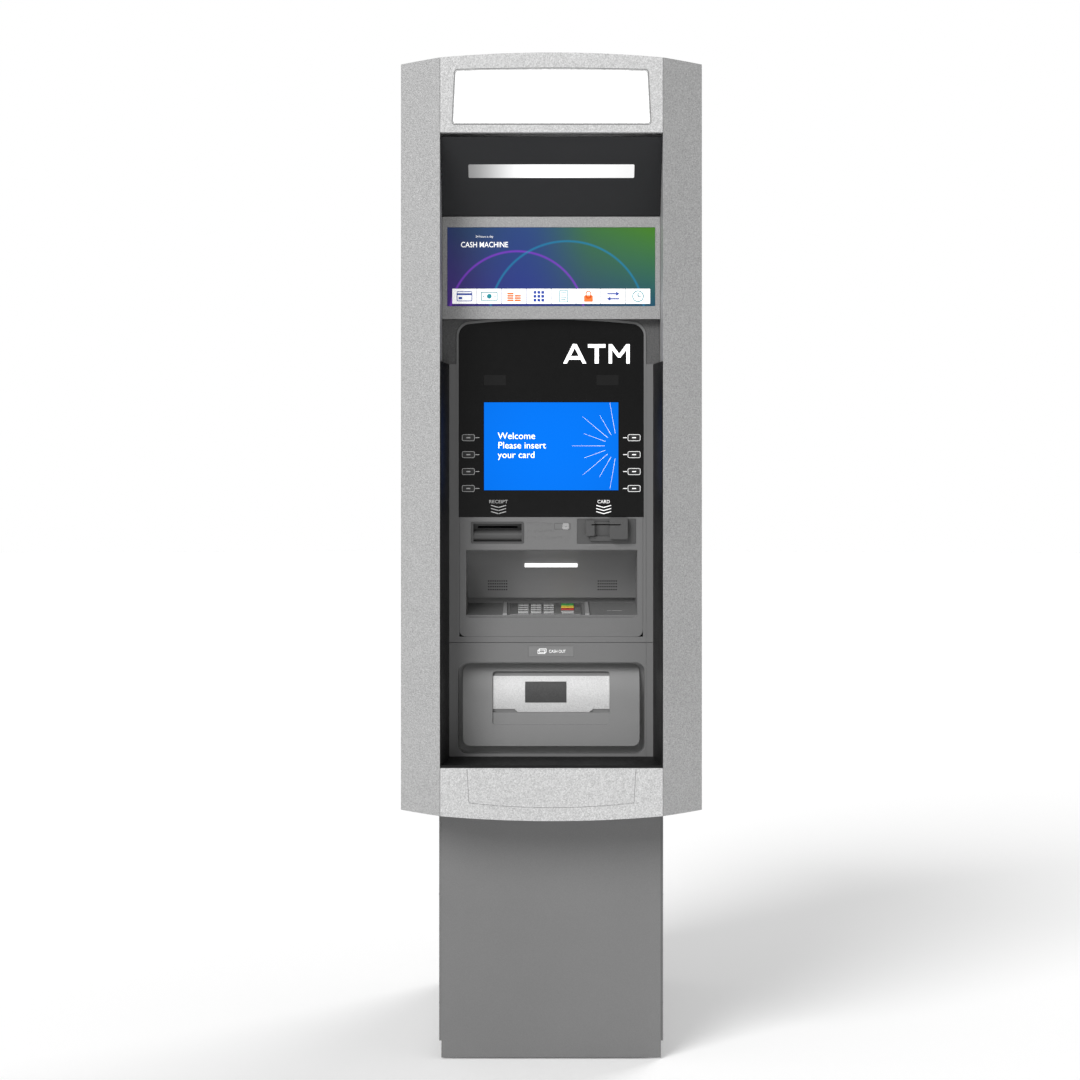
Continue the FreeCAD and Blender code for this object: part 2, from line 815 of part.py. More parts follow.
def upper_frame():
    """The grey moulded frame that holds the screen bezel and the keypad panel."""
    half = f"({HALF_INNER} - fit_gap)"
    low = plate("frame_base", f"-{half}", f"2 * {half}", "fascia_split + fascia_seam / 2",
                "liner_top - fascia_split", FASCIA, FRAME_DEPTH)
    high = bezel_outline("frame_head", FASCIA, "rim_width", FRAME_DEPTH)
    head_hole = bezel_outline("frame_head_hole", f"{FASCIA} - cut_over", "fit_gap",
                              "surround_depth")
    panel_hole = box("frame_panel_hole", "-panel_width / 2 - fit_gap",
                     "panel_width + 2 * fit_gap", f"{FASCIA} - cut_over", "surround_depth",
                     "panel_bottom - fit_gap", "bezel_bottom - panel_bottom + panel_corner")
    grooves = []
    for side, sign in (("left", -1), ("right", 1)):
        grooves.append(box(f"frame_groove_{side}", groove_left(sign), "groove_width",
                           f"{FASCIA} - cut_over", "groove_depth + cut_over", "fascia_split",
                           "liner_top - fascia_split + cut_over"))
    node(cut("upper_frame", fuse("frame_solid", low, high), head_hole, panel_hole, *grooves),
         "upper_frame")


SIDE_KEYS = 4
KEY_MARGIN = "((bezel_width - screen_width) / 2)"
KEY_OFFSET = f"(screen_width / 2 + side_key_place * {KEY_MARGIN})"
KEY_WIDTH = f"(side_key_share * {KEY_MARGIN})"


def screen_bezel():
    """The black bezel: an arched gloss panel with the screen's window and the side keys' holes."""
    part = body("screen_bezel_body")
    sketch = sketch_on(part, "XZ_Plane", "screen_bezel_face")
    arched(sketch, "(bezel_width / 2)", "bezel_bottom", f"bezel_top - {BEZEL_RISE}", "bezel_arch")
    pad(part, sketch, "bezel_thickness")
    round_edges(part, "bezel_corner", Y_AXIS,
                lambda point: point.z > number(ABOVE_BEZEL_FOOT))
    opening(part, "screen_hole", "-screen_width / 2", "screen_width", "screen_bottom",
            "screen_top - screen_bottom", "bezel_thickness", "screen_corner")
    for side, sign in (("left", -1), ("right", 1)):
        for index in range(SIDE_KEYS):
            level = f"side_key_first - {index} * side_key_pitch"
            opening(part, f"side_key_hole_{side}_{index + 1}",
                    f"{sign} * {KEY_OFFSET} - {KEY_WIDTH} / 2 - key_gap",
                    f"{KEY_WIDTH} + 2 * key_gap",
                    f"{level} - side_key_height / 2 - key_gap",
                    "side_key_height + 2 * key_gap", "bezel_thickness",
                    "side_key_corner + key_gap")
    place(part, y=FASCIA)
    node(part, "screen_bezel")


def display_module():
    """The display with its pane in the bezel's window and a key board behind the side keys."""
    pane = plate("display_pane", "-screen_width / 2 + fit_gap", "screen_width - 2 * fit_gap",
                 "screen_bottom + fit_gap", "screen_top - screen_bottom - 2 * fit_gap",
                 f"{FASCIA} + screen_back", "bezel_thickness - screen_back", "screen_corner")
    side = f"display_share * {KEY_MARGIN}"
    case = box("display_case", f"-screen_width / 2 - {side}",
               f"screen_width + 2 * {side}", f"{FASCIA} + bezel_thickness", "module_depth",
               "screen_bottom - display_margin",
               "screen_top - screen_bottom + 2 * display_margin")
    behind = f"{FASCIA} + side_key_depth + side_key_travel + key_board_gap"
    half_key = "(side_key_height / 2 + key_board_margin)"
    board = box("display_key_board", "-bezel_width / 2 + key_board_inset",
                "bezel_width - 2 * key_board_inset", behind, "key_board_thickness",
                f"side_key_first - {SIDE_KEYS - 1} * side_key_pitch - {half_key}",
                f"{SIDE_KEYS - 1} * side_key_pitch + 2 * {half_key}")
    node(fuse("display_module_solid", pane, case, board), "display_module")


def side_keys():
    """Four function keys each side of the screen, sprung against the board behind them."""
    for side, sign in (("left", -1), ("right", 1)):
        for index in range(SIDE_KEYS):
            label = f"function_key_{side}_{index + 1}"
            level = f"(side_key_first - {index} * side_key_pitch)"
            centre = f"({sign} * {KEY_OFFSET})"
            cap = plate(label, f"-{KEY_WIDTH} / 2", KEY_WIDTH, "-side_key_height / 2",
                        "side_key_height", "0", "side_key_depth", "side_key_corner")
            place(cap, centre, f"{FASCIA} - side_key_proud", level)
            node(cap, label)


def keypad_panel():
    """The grey panel under the screen, with the deep recess that shields the keypad."""
    skin = plate("panel_skin_plate", "-panel_width / 2", "panel_width", "panel_bottom",
                 "bezel_bottom - panel_bottom - fit_gap", FASCIA, "panel_skin")
    round_edges(skin, "panel_corner", Y_AXIS, lambda point: point.z < number("recess_bottom"))
    opening(skin, "recess_mouth", "recess_left", "recess_width", "recess_bottom",
            "recess_top - recess_bottom", "panel_skin", "recess_corner")
    opening(skin, "receipt_hole", "receipt_left - fit_gap", "receipt_width + 2 * fit_gap",
            "receipt_bottom - fit_gap", "receipt_height + 2 * fit_gap", "panel_skin",
            "receipt_corner")
    opening(skin, "card_hole", "card_left - fit_gap", "card_width + 2 * fit_gap",
            "card_bottom - fit_gap", "card_height", "panel_skin", "card_corner")
    jack_hole = rod("jack_hole", "jack_barrel_radius + fit_gap", "panel_skin + 2 * cut_over",
                    "jack_position", f"{FASCIA} - cut_over", "jack_level", Y_AXIS)
    tub_left = "(recess_left - recess_shell)"
    tub_width = "(recess_width + 2 * recess_shell)"
    behind = f"({FASCIA} + panel_skin)"
    axis_y = f"({FASCIA} - recess_axis_front)"
    block = box("tub_block", tub_left, tub_width, behind, "recess_groove_depth",
                "recess_bottom - recess_shell", "recess_top - recess_bottom + 2 * recess_shell")
    drum = rod("tub_drum", "recess_wall_radius + recess_shell", tub_width, tub_left, axis_y,
               "recess_axis_level", X_AXIS)
    foot = box("tub_foot", tub_left, tub_width, behind, "recess_groove_depth",
               "recess_bottom - recess_shell",
               "recess_groove_level - recess_bottom + 2 * recess_shell")
    outer = fuse("tub_outer", common("tub_round", block, drum), foot)
    room = box("tub_room", "recess_left", "recess_width", FASCIA, "recess_groove_depth",
               "recess_bottom", "recess_top - recess_bottom")
    hollow = rod("tub_hollow", "recess_wall_radius", "recess_width", "recess_left", axis_y,
                 "recess_axis_level", X_AXIS)
    groove = box("tub_groove", "recess_left", "recess_width", behind,
                 "recess_groove_depth - recess_shell", "recess_bottom",
                 "recess_groove_level - recess_bottom")
    shelf = box("tub_shelf", "0", "recess_width + 2 * cut_over", "0", "4 * tool_reach", "0",
                "4 * tool_reach")
    place(shelf, "recess_left - cut_over", FASCIA, "shelf_front_level", X_AXIS, "pad_tilt")
    cavity = common("tub_cavity", fuse("tub_space", common("tub_vault", room, hollow), groove),
                    shelf)
    pad_hole = box("pad_hole", "0", "pad_width + 2 * fit_gap", "0", "pad_length + 2 * fit_gap",
                   "0", "tool_reach + 2 * pad_proud")
    tilted(pad_hole, "pad_centre - pad_width / 2 - fit_gap", "pad_front - fit_gap", "-tool_reach")
    node(cut("keypad_panel_solid", fuse("panel_and_tub", skin, outer), cavity, pad_hole, jack_hole),
         "keypad_panel")


def tilted(item, across, along, above):
    """Place an item on the keypad's sloping shelf, measured from the shelf's front edge."""
    return place(item, across,
                 f"{FASCIA} + ({along}) * cos(pad_tilt) - ({above}) * sin(pad_tilt)",
                 f"shelf_front_level + ({along}) * sin(pad_tilt) + ({above}) * cos(pad_tilt)",
                 X_AXIS, "pad_tilt")


COLUMNS = ["pad_first_column", "(pad_first_column + pad_column_pitch)",
           "(pad_first_column + 2 * pad_column_pitch)", "command_column"]
KEY_ROWS = [("1", "2", "3", "enter"), ("4", "5", "6", "clear"),
            ("7", "8", "9", "cancel"), ("star", "0", "hash", "blank")]
PAD_MIDDLE = "(pad_front + pad_length / 2)"


def key_places():
    """Each pin pad key's name, width, and offsets from the plate's middle."""
    for row, names in enumerate(KEY_ROWS):
        for column, name in enumerate(names):
            width = "command_key_width" if column == 3 else "pad_key_width"
            yield name, width, COLUMNS[column], f"({1.5 - row} * pad_row_pitch)"


def pin_pad():
    """The steel pin pad plate on its sealed housing, with a hole for each key."""
    part = body("pin_pad")
    sketch = sketch_on(part, "XY_Plane", "pin_pad_plan")
    rectangle(sketch, "-pad_width / 2", "pad_width", "-pad_length / 2", "pad_length")
    pad(part, sketch, "pad_plate")
    round_edges(part, "pad_corner", Z_AXIS)
    housing = sketch_on(part, "XY_Plane", "pin_pad_housing")
    rectangle(housing, "-pad_width / 2 + pad_housing_inset", "pad_width - 2 * pad_housing_inset",
              "-pad_length / 2 + pad_housing_inset", "pad_length - 2 * pad_housing_inset")
    pad(part, housing, "pad_plate + pad_housing")
    well_depth = "pad_key_height - pad_key_proud + pad_key_travel + key_gap"
    for name, width, across, along in key_places():
        hole = sketch_on(part, "XY_Plane", f"key_hole_{name}")
        rectangle(hole, f"{across} - {width} / 2 - key_gap", f"{width} + 2 * key_gap",
                  f"{along} - pad_key_length / 2 - key_gap", "pad_key_length + 2 * key_gap")
        pocket(part, hole, well_depth)
    node(tilted(part, "pad_centre", PAD_MIDDLE, "pad_proud"), "keypad_body")


def pin_pad_keys():
    """The ten digits, star, hash and the four command keys."""
    for name, width, across, along in key_places():
        cap = body(f"key_{name}")
        sketch = sketch_on(cap, "XY_Plane", f"key_{name}_plan")
        rectangle(sketch, f"-{width} / 2", width, "-pad_key_length / 2", "pad_key_length")
        pad(cap, sketch, "pad_key_height")
        round_edges(cap, "pad_key_corner", Z_AXIS)
        round_edges(cap, "pad_key_edge", X_AXIS,
                    lambda point: point.z > -number("pad_key_height") / 2)
        tilted(cap, f"pad_centre + {across}", f"{PAD_MIDDLE} + {along}",
               "pad_proud + pad_key_proud")
        node(cap, f"key_{name}")


def recess_lamp():
    """The lamp lens on the recess's curved back wall, facing the keys."""
    reach = "(recess_wall_radius - pad_lamp_depth - lamp_gap)"
    half = "(pad_lamp_height / 2)"
    lens = box("recess_lamp", "0", "pad_lamp_width", "0", "pad_lamp_depth", "0",
               "pad_lamp_height")
    place(lens, "-pad_lamp_width / 2",
          f"{FASCIA} - recess_axis_front + {reach} * cos(pad_lamp_angle)"
          f" + {half} * sin(pad_lamp_angle)",
          f"recess_axis_level + {reach} * sin(pad_lamp_angle) - {half} * cos(pad_lamp_angle)",
          X_AXIS, "pad_lamp_angle")
    node(lens, "keypad_lamp")


def receipt_outlet():
    """The receipt mouth: a tray with a round bar below the paper's slit."""
    slit_level = "receipt_bottom + receipt_height - receipt_slit_drop"
    block = plate("receipt_block", "receipt_left", "receipt_width", "receipt_bottom",
                  "receipt_height", f"{FASCIA} - receipt_proud", "receipt_depth",
                  "receipt_corner")
    tray = box("receipt_tray", "receipt_left + receipt_wall", "receipt_width - 2 * receipt_wall",
               f"{FASCIA} - receipt_proud - cut_over", "receipt_depth - receipt_back",
               "receipt_bottom + receipt_lip", "receipt_height - 2 * receipt_lip")
    bar = rod("receipt_bar", "receipt_roll_radius", "receipt_width - receipt_wall",
              "receipt_left + receipt_wall / 2",
              f"{FASCIA} + receipt_roll_radius + receipt_bar_inset",
              "receipt_bottom + receipt_bar_inset + receipt_roll_radius", X_AXIS)
    slit = box("receipt_slit", "receipt_left + receipt_slit_inset",
               "receipt_width - 2 * receipt_slit_inset", f"{FASCIA} - receipt_proud - cut_over",
               "receipt_depth + 2 * cut_over", slit_level, "receipt_slot_height")
    node(cut("receipt_chute_solid", fuse("receipt_with_bar", cut("receipt_cup", block, tray), bar),
             slit), "receipt_chute")
    back = f"({FASCIA} + receipt_depth - receipt_proud)"
    low = "(receipt_bottom - printer_drop)"
    printer = box("printer_case", "receipt_left - printer_overhang", "printer_width", back,
                  "printer_depth", low, "printer_height")
    throat = box("printer_throat", "receipt_left + receipt_slit_inset",
                 "receipt_width - 2 * receipt_slit_inset", f"{back} - cut_over", "tool_reach / 2",
                 slit_level, "receipt_slot_height")
    roll = rod("paper_roll_bay", "paper_roll_radius", "receipt_width - 2 * paper_roll_margin",
               "receipt_left + paper_roll_margin",
               f"{back} + printer_depth - paper_roll_radius - paper_roll_back",
               f"{low} + printer_height - paper_roll_radius / 2", X_AXIS)
    node(cut("receipt_printer_solid", printer, throat, roll), "receipt_printer")


def card_reader():
    """The card mouth: a flush plate, two jaws that guide the card and a finger notch."""
    front = f"({FASCIA} - card_proud)"
    base = plate("card_base", "card_left", "card_width", "card_bottom",
                 "card_height - 2 * fit_gap", front, "card_plate", "card_corner")
    left_jaw = plate("card_left_jaw", "card_left + left_jaw_offset", "left_jaw_width",
                     "card_bottom + left_jaw_rise", "left_jaw_height",
                     f"{FASCIA} - left_jaw_proud", "left_jaw_proud + jaw_seat", "left_jaw_corner")
    right_jaw = plate("card_right_jaw", "card_left + right_jaw_offset", "right_jaw_width",
                      "card_bottom + right_jaw_rise", "right_jaw_height",
                      f"{FASCIA} - right_jaw_proud", "right_jaw_proud - fit_gap",
                      "right_jaw_corner")
    bridge = box("card_bridge", "card_left + left_jaw_offset + left_jaw_width / 2",
                 "right_jaw_offset - left_jaw_offset",
                 f"{FASCIA} - card_bridge_proud", "card_bridge_proud + jaw_seat",
                 "card_bottom + card_bridge_rise", "card_bridge_height")
    transport = box("card_transport", "card_slot_left - transport_wall",
                    "card_slot_width + 2 * transport_wall", f"{front} + card_plate - cut_over",
                    "transport_length", "card_slot_level - transport_drop", "transport_height")
    slot = box("card_slot", "card_slot_left", "card_slot_width",
               f"{FASCIA} - right_jaw_proud - cut_over", "transport_length",
               "card_slot_level - card_slot_height / 2", "card_slot_height")
    notch = box("card_notch", "card_left + left_jaw_offset + left_jaw_width",
                "right_jaw_offset - left_jaw_offset - left_jaw_width", f"{front} - cut_over",
                "card_notch_depth + cut_over", "card_bottom + card_notch_rise",
                "left_jaw_height")
    solid = fuse("card_solid", base, left_jaw, right_jaw, bridge, transport)
    node(cut("card_reader_solid", solid, slot, notch), "card_reader")


def headphone_jack():
    """A square escutcheon with a 3.5 mm socket behind it."""
    square = plate("jack_face", "jack_position - jack_size / 2", "jack_size",
                   "jack_level - jack_size / 2", "jack_size", f"{FASCIA} - jack_proud",
                   "jack_proud", "jack_corner")
    barrel = rod("jack_barrel", "jack_barrel_radius", "jack_depth", "jack_position", FASCIA,
                 "jack_level", Y_AXIS)
    bore = rod("jack_bore", "jack_bore_radius", "jack_depth - jack_blind", "jack_position",
               f"{FASCIA} - jack_proud", "jack_level", Y_AXIS)
    node(cut("headphone_jack_solid", fuse("jack_solid", square, barrel), bore), "headphone_jack")


# ---------------------------------------------------------------- cash outlet
def cash_frame():
    """The lower moulded frame, with the pocket's mouth and a shallow seat for a label."""
    half = f"({HALF_INNER} - fit_gap)"
    frame = plate("cash_frame", f"-{half}", f"2 * {half}", "sill_back_top",
                  "fascia_split - fascia_seam / 2 - sill_back_top", FASCIA, FRAME_DEPTH)
    opening(frame, "pocket_mouth", "-pocket_width / 2", "pocket_width", "pocket_bottom",
            "pocket_top - pocket_bottom", FRAME_DEPTH, "pocket_corner")
    opening(frame, "label_seat", "-label_width / 2", "label_width", "label_bottom",
            "label_height", "label_depth", "label_corner")
    for side, sign in (("left", -1), ("right", 1)):
        opening(frame, f"cash_groove_{side}", groove_left(sign), "groove_width",
                "sill_back_top - cut_over", "fascia_split", "groove_depth")
    node(frame, "lower_fascia")


BULGE_FACE = f"({FASCIA} + bulge_setback)"
DRUM_AXIS = f"({BULGE_FACE} + bulge_radius)"


def ring_segment(name, outer, inner, left, width):
    """A tube about the shutter's axis, to be trimmed to its height."""
    skin = rod(name + "_outer", outer, width, left, DRUM_AXIS, "bulge_level", X_AXIS)
    core = rod(name + "_inner", inner, f"{width} + 2 * cut_over", f"{left} - cut_over",
               DRUM_AXIS, "bulge_level", X_AXIS)
    return cut(name, skin, core)


def cash_outlet():
    """The bulged panel behind the pocket and the curved shutter that rides up inside it."""
    depth = "(pocket_depth - bulge_setback + backing_plate / 2)"
    wide_left = "-bulge_width / 2 - cut_over"
    wide = "bulge_width + 2 * cut_over"
    block = plate("bulge_block", "-bulge_width / 2", "bulge_width", "bulge_bottom",
                  "bulge_top - bulge_bottom", BULGE_FACE, depth, "bulge_corner")
    upper = common("bulge_upper",
                   box("bulge_upper_box", wide_left, wide, f"{BULGE_FACE} - cut_over",
                       f"{depth} + cut_over", "bulge_level", "bulge_radius"),
                   rod("bulge_drum", "bulge_radius", wide, wide_left, DRUM_AXIS, "bulge_level",
                       X_AXIS))
    lower = box("bulge_lower_box", wide_left, wide, f"{BULGE_FACE} - cut_over",
                f"{depth} + cut_over", "bulge_bottom - cut_over",
                "bulge_level - bulge_bottom + cut_over")
    bulge = common("bulge", block, fuse("bulge_envelope", upper, lower))
    pan = box("pocket_pan", "-pocket_width / 2 - backing_overlap",
              "pocket_width + 2 * backing_overlap", CABINET,
              f"pocket_depth - {FRAME_DEPTH} + backing_plate",
              "pocket_bottom - backing_overlap",
              "pocket_top - pocket_bottom + 2 * backing_overlap")
    room = plate("pocket_room", "-pocket_width / 2", "pocket_width", "pocket_bottom",
                 "pocket_top - pocket_bottom", f"{CABINET} - cut_over",
                 f"pocket_depth - {FRAME_DEPTH} + cut_over", "pocket_corner")
    outer = "(bulge_radius - shutter_hood)"
    inner = f"({outer} - shutter_thickness - 2 * shutter_gap)"
    track_left = "(-track_width / 2)"
    blade_low = "(shutter_bottom - shutter_tab_drop - shutter_gap)"
    groove = common("shutter_groove",
                    ring_segment("groove_ring", outer, inner, track_left, "track_width"),
                    box("groove_trim", f"{track_left} - cut_over", "track_width + 2 * cut_over",
                        FASCIA, "tool_reach", blade_low, "bulge_radius"))
    mouth = plate("track_mouth", track_left, "track_width", "track_bottom",
                  "track_top - track_bottom", f"{FASCIA} - cut_over", "tool_reach",
                  "track_corner")
    shallow = box("track_shallow", f"{track_left} - cut_over", "track_width + 2 * cut_over",
                  f"{FASCIA} - 2 * cut_over", "bulge_setback + track_depth + 2 * cut_over",
                  "track_bottom - cut_over", "track_top - track_bottom + 2 * cut_over")
    deep = cut("track_deep",
               box("track_deep_box", f"{track_left} - cut_over", "track_width + 2 * cut_over",
                   f"{FASCIA} - 2 * cut_over", "tool_reach", blade_low, "bulge_radius"),
               rod("track_drum", inner, "track_width + 4 * cut_over",
                   f"{track_left} - 2 * cut_over", DRUM_AXIS, "bulge_level", X_AXIS))
    face = common("track_face", mouth, fuse("track_room", shallow, deep))
    slot = box("cash_slot", "-cash_slot_width / 2", "cash_slot_width", FASCIA,
               "tool_reach", "cash_slot_bottom", "cash_slot_top - cash_slot_bottom")
    node(cut("cash_fascia_solid", fuse("bulge_and_pan", bulge, cut("pocket_shell", pan, room)),
             groove, face, slot), "cash_fascia")

    skin_out = f"({outer} - shutter_gap)"
    skin_in = f"({skin_out} - shutter_thickness)"
    blade_left = "(-track_width / 2 + shutter_gap)"
    blade_width = "(track_width - 2 * shutter_gap)"
    ring = ring_segment("blade_ring", skin_out, skin_in, blade_left, blade_width)
    trim = plate("blade_trim", blade_left, blade_width, "shutter_bottom",
                 "shutter_top - shutter_bottom", FASCIA, "tool_reach")
    tab = body("blade_tab")
    tab_right = "(shutter_tab_left + shutter_tab_width)"
    low = "(shutter_bottom - shutter_tab_drop)"
    outline(sketch_on(tab, "XZ_Plane", "blade_tab_face"),
            [("shutter_tab_left + shutter_tab_slope", low),
             (f"{tab_right} - shutter_tab_slope", low),
             (tab_right, "shutter_bottom + cut_over"),
             ("shutter_tab_left", "shutter_bottom + cut_over")])
    pad(tab, tab.Group[0], "tool_reach")
    place(tab, y=FASCIA)
    window = common("blade_window",
                    ring_segment("window_ring", f"{skin_out} + cut_over",
                                 f"{skin_out} - shutter_window_depth", "shutter_window_left",
                                 "shutter_window_width"),
                    box("window_trim", "shutter_window_left - cut_over",
                        "shutter_window_width + 2 * cut_over", FASCIA, "tool_reach",
                        "shutter_window_bottom",
                        "shutter_window_top - shutter_window_bottom"))
    blade = common("blade", ring, fuse("blade_shape", trim, tab))
    node(cut("cash_shutter_solid", blade, window), "cash_shutter")


# ---------------------------------------------------------------- cabinet
def cabinet_shell():
    """The folded cabinet: two sides, a roof, a front flange and a plate behind the header."""
    front = f"({CABINET} + sheet_thickness)"
    depth = f"({REAR} - {CABINET} - sheet_thickness - rear_door_depth)"
    inside = "(cabinet_width - 2 * sheet_thickness)"
    block = box("cabinet_block", f"-{HALF_CABINET}", "cabinet_width", front, depth,
                "cabinet_bottom", "cabinet_top - cabinet_bottom")
    room = box("cabinet_room", f"-{inside} / 2", inside, f"{front} + sheet_thickness",
               f"{depth} - 2 * sheet_thickness", "cabinet_bottom - cut_over",
               "cabinet_top - cabinet_bottom + cut_over - sheet_thickness")
    mouth = box("cabinet_mouth", "-pocket_width / 2 - backing_overlap - cabinet_mouth_gap",
                "pocket_width + 2 * backing_overlap + 2 * cabinet_mouth_gap",
                f"{front} - cut_over", "sheet_thickness + 2 * cut_over", "sill_back_top",
                "advert_bottom - sill_back_top - rim_width + cabinet_mouth_gap")
    rear = box("cabinet_rear_mouth", f"-{HALF_CABINET} + rear_flange",
               "cabinet_width - 2 * rear_flange",
               f"{front} + {depth} - sheet_thickness - cut_over",
               "sheet_thickness + 2 * cut_over", "rear_door_bottom + rear_flange",
               "cabinet_top - rear_door_bottom - 2 * rear_flange")
    safe_gap = box("cabinet_safe_gap", f"-{HALF_CABINET} - cut_over",
                   "cabinet_width + 2 * cut_over", f"{SAFE_REAR} - door_box_depth",
                   "safe_rear_gap + door_box_depth", "cabinet_bottom - cut_over",
                   "rear_door_bottom - cabinet_bottom - cut_over")
    shell = cut("cabinet_folded", block, room, mouth, rear, safe_gap)
    back_plate = box("header_back_plate", f"-{HALF_INNER} - sheet_thickness",
                     "inner_width + 2 * sheet_thickness", CABINET,
                     "sheet_thickness", "advert_bottom - soffit_gap",
                     "surround_top - advert_bottom - header_plate_drop")
    node(fuse("cabinet_shell_solid", shell, back_plate, *cabinet_hinges()), "cabinet_shell")


def front_cover():
    """The grey plate in front of the safe, from the footer to just above the floor."""
    node(plate("front_plate", "-cover_width / 2", "cover_width", "cover_bottom",
               "footer_top - sheet_thickness - cover_bottom", CABINET, "sheet_thickness"),
         "front_cover")


# ---------------------------------------------------------------- safe
HINGE_X = "(safe_width / 2 + hinge_standoff)"
HINGE_Y = f"({SAFE_REAR} + door_plate / 2)"
HINGE_LEVELS = ("safe_bottom + hinge_margin_low", "safe_top - hinge_margin_high")
DOOR_INSET = "(safe_frame + door_box_inset)"


def safe_body():
    """The safe: thick walls, a rear door frame, the nose's slot, anchor holes and hinge posts."""
    depth = f"({SAFE_REAR} - {SAFE_FRONT})"
    height = "(safe_top - safe_bottom)"
    block = box("safe_block", "-safe_width / 2", "safe_width", SAFE_FRONT, depth,
                "safe_bottom", height)
    room = box("safe_room", "-safe_width / 2 + safe_wall", "safe_width - 2 * safe_wall",
               f"{SAFE_FRONT} + safe_wall", f"{depth} - 2 * safe_wall",
               "safe_bottom + safe_wall", f"{height} - 2 * safe_wall")
    mouth = box("safe_mouth", "-safe_width / 2 + safe_frame", "safe_width - 2 * safe_frame",
                f"{SAFE_REAR} - safe_wall - cut_over", "safe_wall + 2 * cut_over",
                "safe_bottom + safe_frame",
                f"{height} - 2 * safe_frame")
    slot = box("safe_slot", "-nose_width / 2 - slot_margin", "nose_width + 2 * slot_margin",
               f"{SAFE_FRONT} - cut_over", "safe_wall + 2 * cut_over",
               "nose_bottom - slot_margin", "nose_top - nose_bottom + 2 * slot_margin")
    holes = []
    for x in ("-anchor_spacing_x / 2", "anchor_spacing_x / 2"):
        for y in ("-anchor_spacing_y / 2", "anchor_spacing_y / 2"):
            holes.append(rod(f"anchor_hole_{len(holes) + 1}", "anchor_radius",
                             "safe_wall + 2 * cut_over", x,
                             f"{y} + {SAFE_FRONT} + {depth} / 2", "safe_bottom - cut_over"))
    parts = [cut("safe_solid", block, room, mouth, slot, *holes)]
    for index, level in enumerate(HINGE_LEVELS, start=1):
        arm = box(f"hinge_arm_{index}", "safe_width / 2 - cut_over",
                  "hinge_standoff + cut_over", f"{HINGE_Y} - hinge_radius - hinge_arm",
                  "hinge_arm + hinge_radius - cut_over", level, "hinge_knuckle")
        knuckle = rod(f"hinge_lower_{index}", "hinge_radius", "hinge_knuckle", HINGE_X, HINGE_Y,
                      level)
        pin = rod(f"hinge_pin_{index}", "hinge_radius / 2", "hinge_pin", HINGE_X, HINGE_Y, level)
        parts.extend([arm, knuckle, pin])
    node(fuse("safe_body_solid", *parts), "safe_body")


def safe_door():
    """The safe's door: an overlapping plate, the box that holds the bolt work, and knuckles."""
    plate_depth = "(door_plate - door_gap)"
    slab = box("door_slab", "-safe_width / 2 + door_inset", "safe_width - 2 * door_inset",
               f"{SAFE_REAR} + door_gap", plate_depth, "safe_bottom + door_margin",
               "safe_top - safe_bottom - 2 * door_margin")
    case = box("door_case", f"-safe_width / 2 + {DOOR_INSET}", f"safe_width - 2 * {DOOR_INSET}",
               f"{SAFE_REAR} - door_box_depth", "door_box_depth + door_gap",
               f"safe_bottom + {DOOR_INSET}", f"safe_top - safe_bottom - 2 * {DOOR_INSET}")
    wall = f"({DOOR_INSET} + door_case_wall)"
    hollow = box("door_case_room", f"-safe_width / 2 + {wall}", f"safe_width - 2 * {wall}",
                 f"{SAFE_REAR} - door_box_depth + door_case_wall",
                 "door_box_depth - door_case_wall", f"safe_bottom + {wall}",
                 f"safe_top - safe_bottom - 2 * {wall}")
    solid = [slab, cut("door_case_shell", case, hollow)]
    holes = []
    for index, level in enumerate(HINGE_LEVELS, start=1):
        above = f"{level} + hinge_knuckle + hinge_play"
        solid.append(rod(f"door_knuckle_{index}", "hinge_radius", "hinge_leaf", HINGE_X, HINGE_Y,
                         above))
        solid.append(box(f"door_leaf_{index}", "safe_width / 2 - 3 * door_inset",
                         "hinge_standoff + 3 * door_inset", f"{HINGE_Y} - door_inset",
                         "door_plate / 2 + door_inset", above, "hinge_leaf"))
        holes.append(rod(f"door_knuckle_bore_{index}", "hinge_radius / 2 + hinge_gap",
                         "hinge_leaf + 2 * cut_over", HINGE_X, HINGE_Y, f"{above} - cut_over"))
    for index in range(3):
        holes.append(rod(f"bolt_hole_{index + 1}", "bolt_radius + shaft_gap",
                         "door_case_wall + 2 * door_margin",
                         f"-safe_width / 2 + {DOOR_INSET} - door_margin", BOLT_Y,
                         bolt_level(index), X_AXIS))
    through = "door_plate + 2 * door_margin"
    holes.append(rod("handle_hole", "spindle_radius + shaft_gap", through, "handle_offset",
                     f"{SAFE_REAR} - door_margin", "handle_level", Y_AXIS))
    holes.append(rod("dial_hole", "dial_spindle_radius + shaft_gap", through, "dial_offset",
                     f"{SAFE_REAR} - door_margin", "dial_level", Y_AXIS))
    node(cut("safe_door_solid", fuse("door_parts", *solid), *holes), "safe_door")


BOLT_Y = f"({SAFE_REAR} - door_box_depth / 2 - bolt_setback)"
BOLT_LEFT = f"(-safe_width / 2 + {DOOR_INSET} - bolt_retreat)"


def bolt_level(index):
    """The height of one of the three bolts."""
    return f"(handle_level + {index - 1} * bolt_pitch)"


def safe_bolts():
    """Three round bolts on one carriage bar, which the handle drives."""
    parts = []
    for index in range(3):
        parts.append(rod(f"bolt_{index + 1}", "bolt_radius", "bolt_length", BOLT_LEFT, BOLT_Y,
                         bolt_level(index), X_AXIS))
    parts.append(box("bolt_bar", f"{BOLT_LEFT} + bolt_length - bolt_bar_width", "bolt_bar_width",
                     f"{BOLT_Y} - bolt_bar_depth / 2", "bolt_bar_depth",
                     "handle_level - bolt_pitch - bolt_bar_margin",
                     "2 * (bolt_pitch + bolt_bar_margin)"))
    node(fuse("safe_bolts_solid", *parts), "safe_bolts")


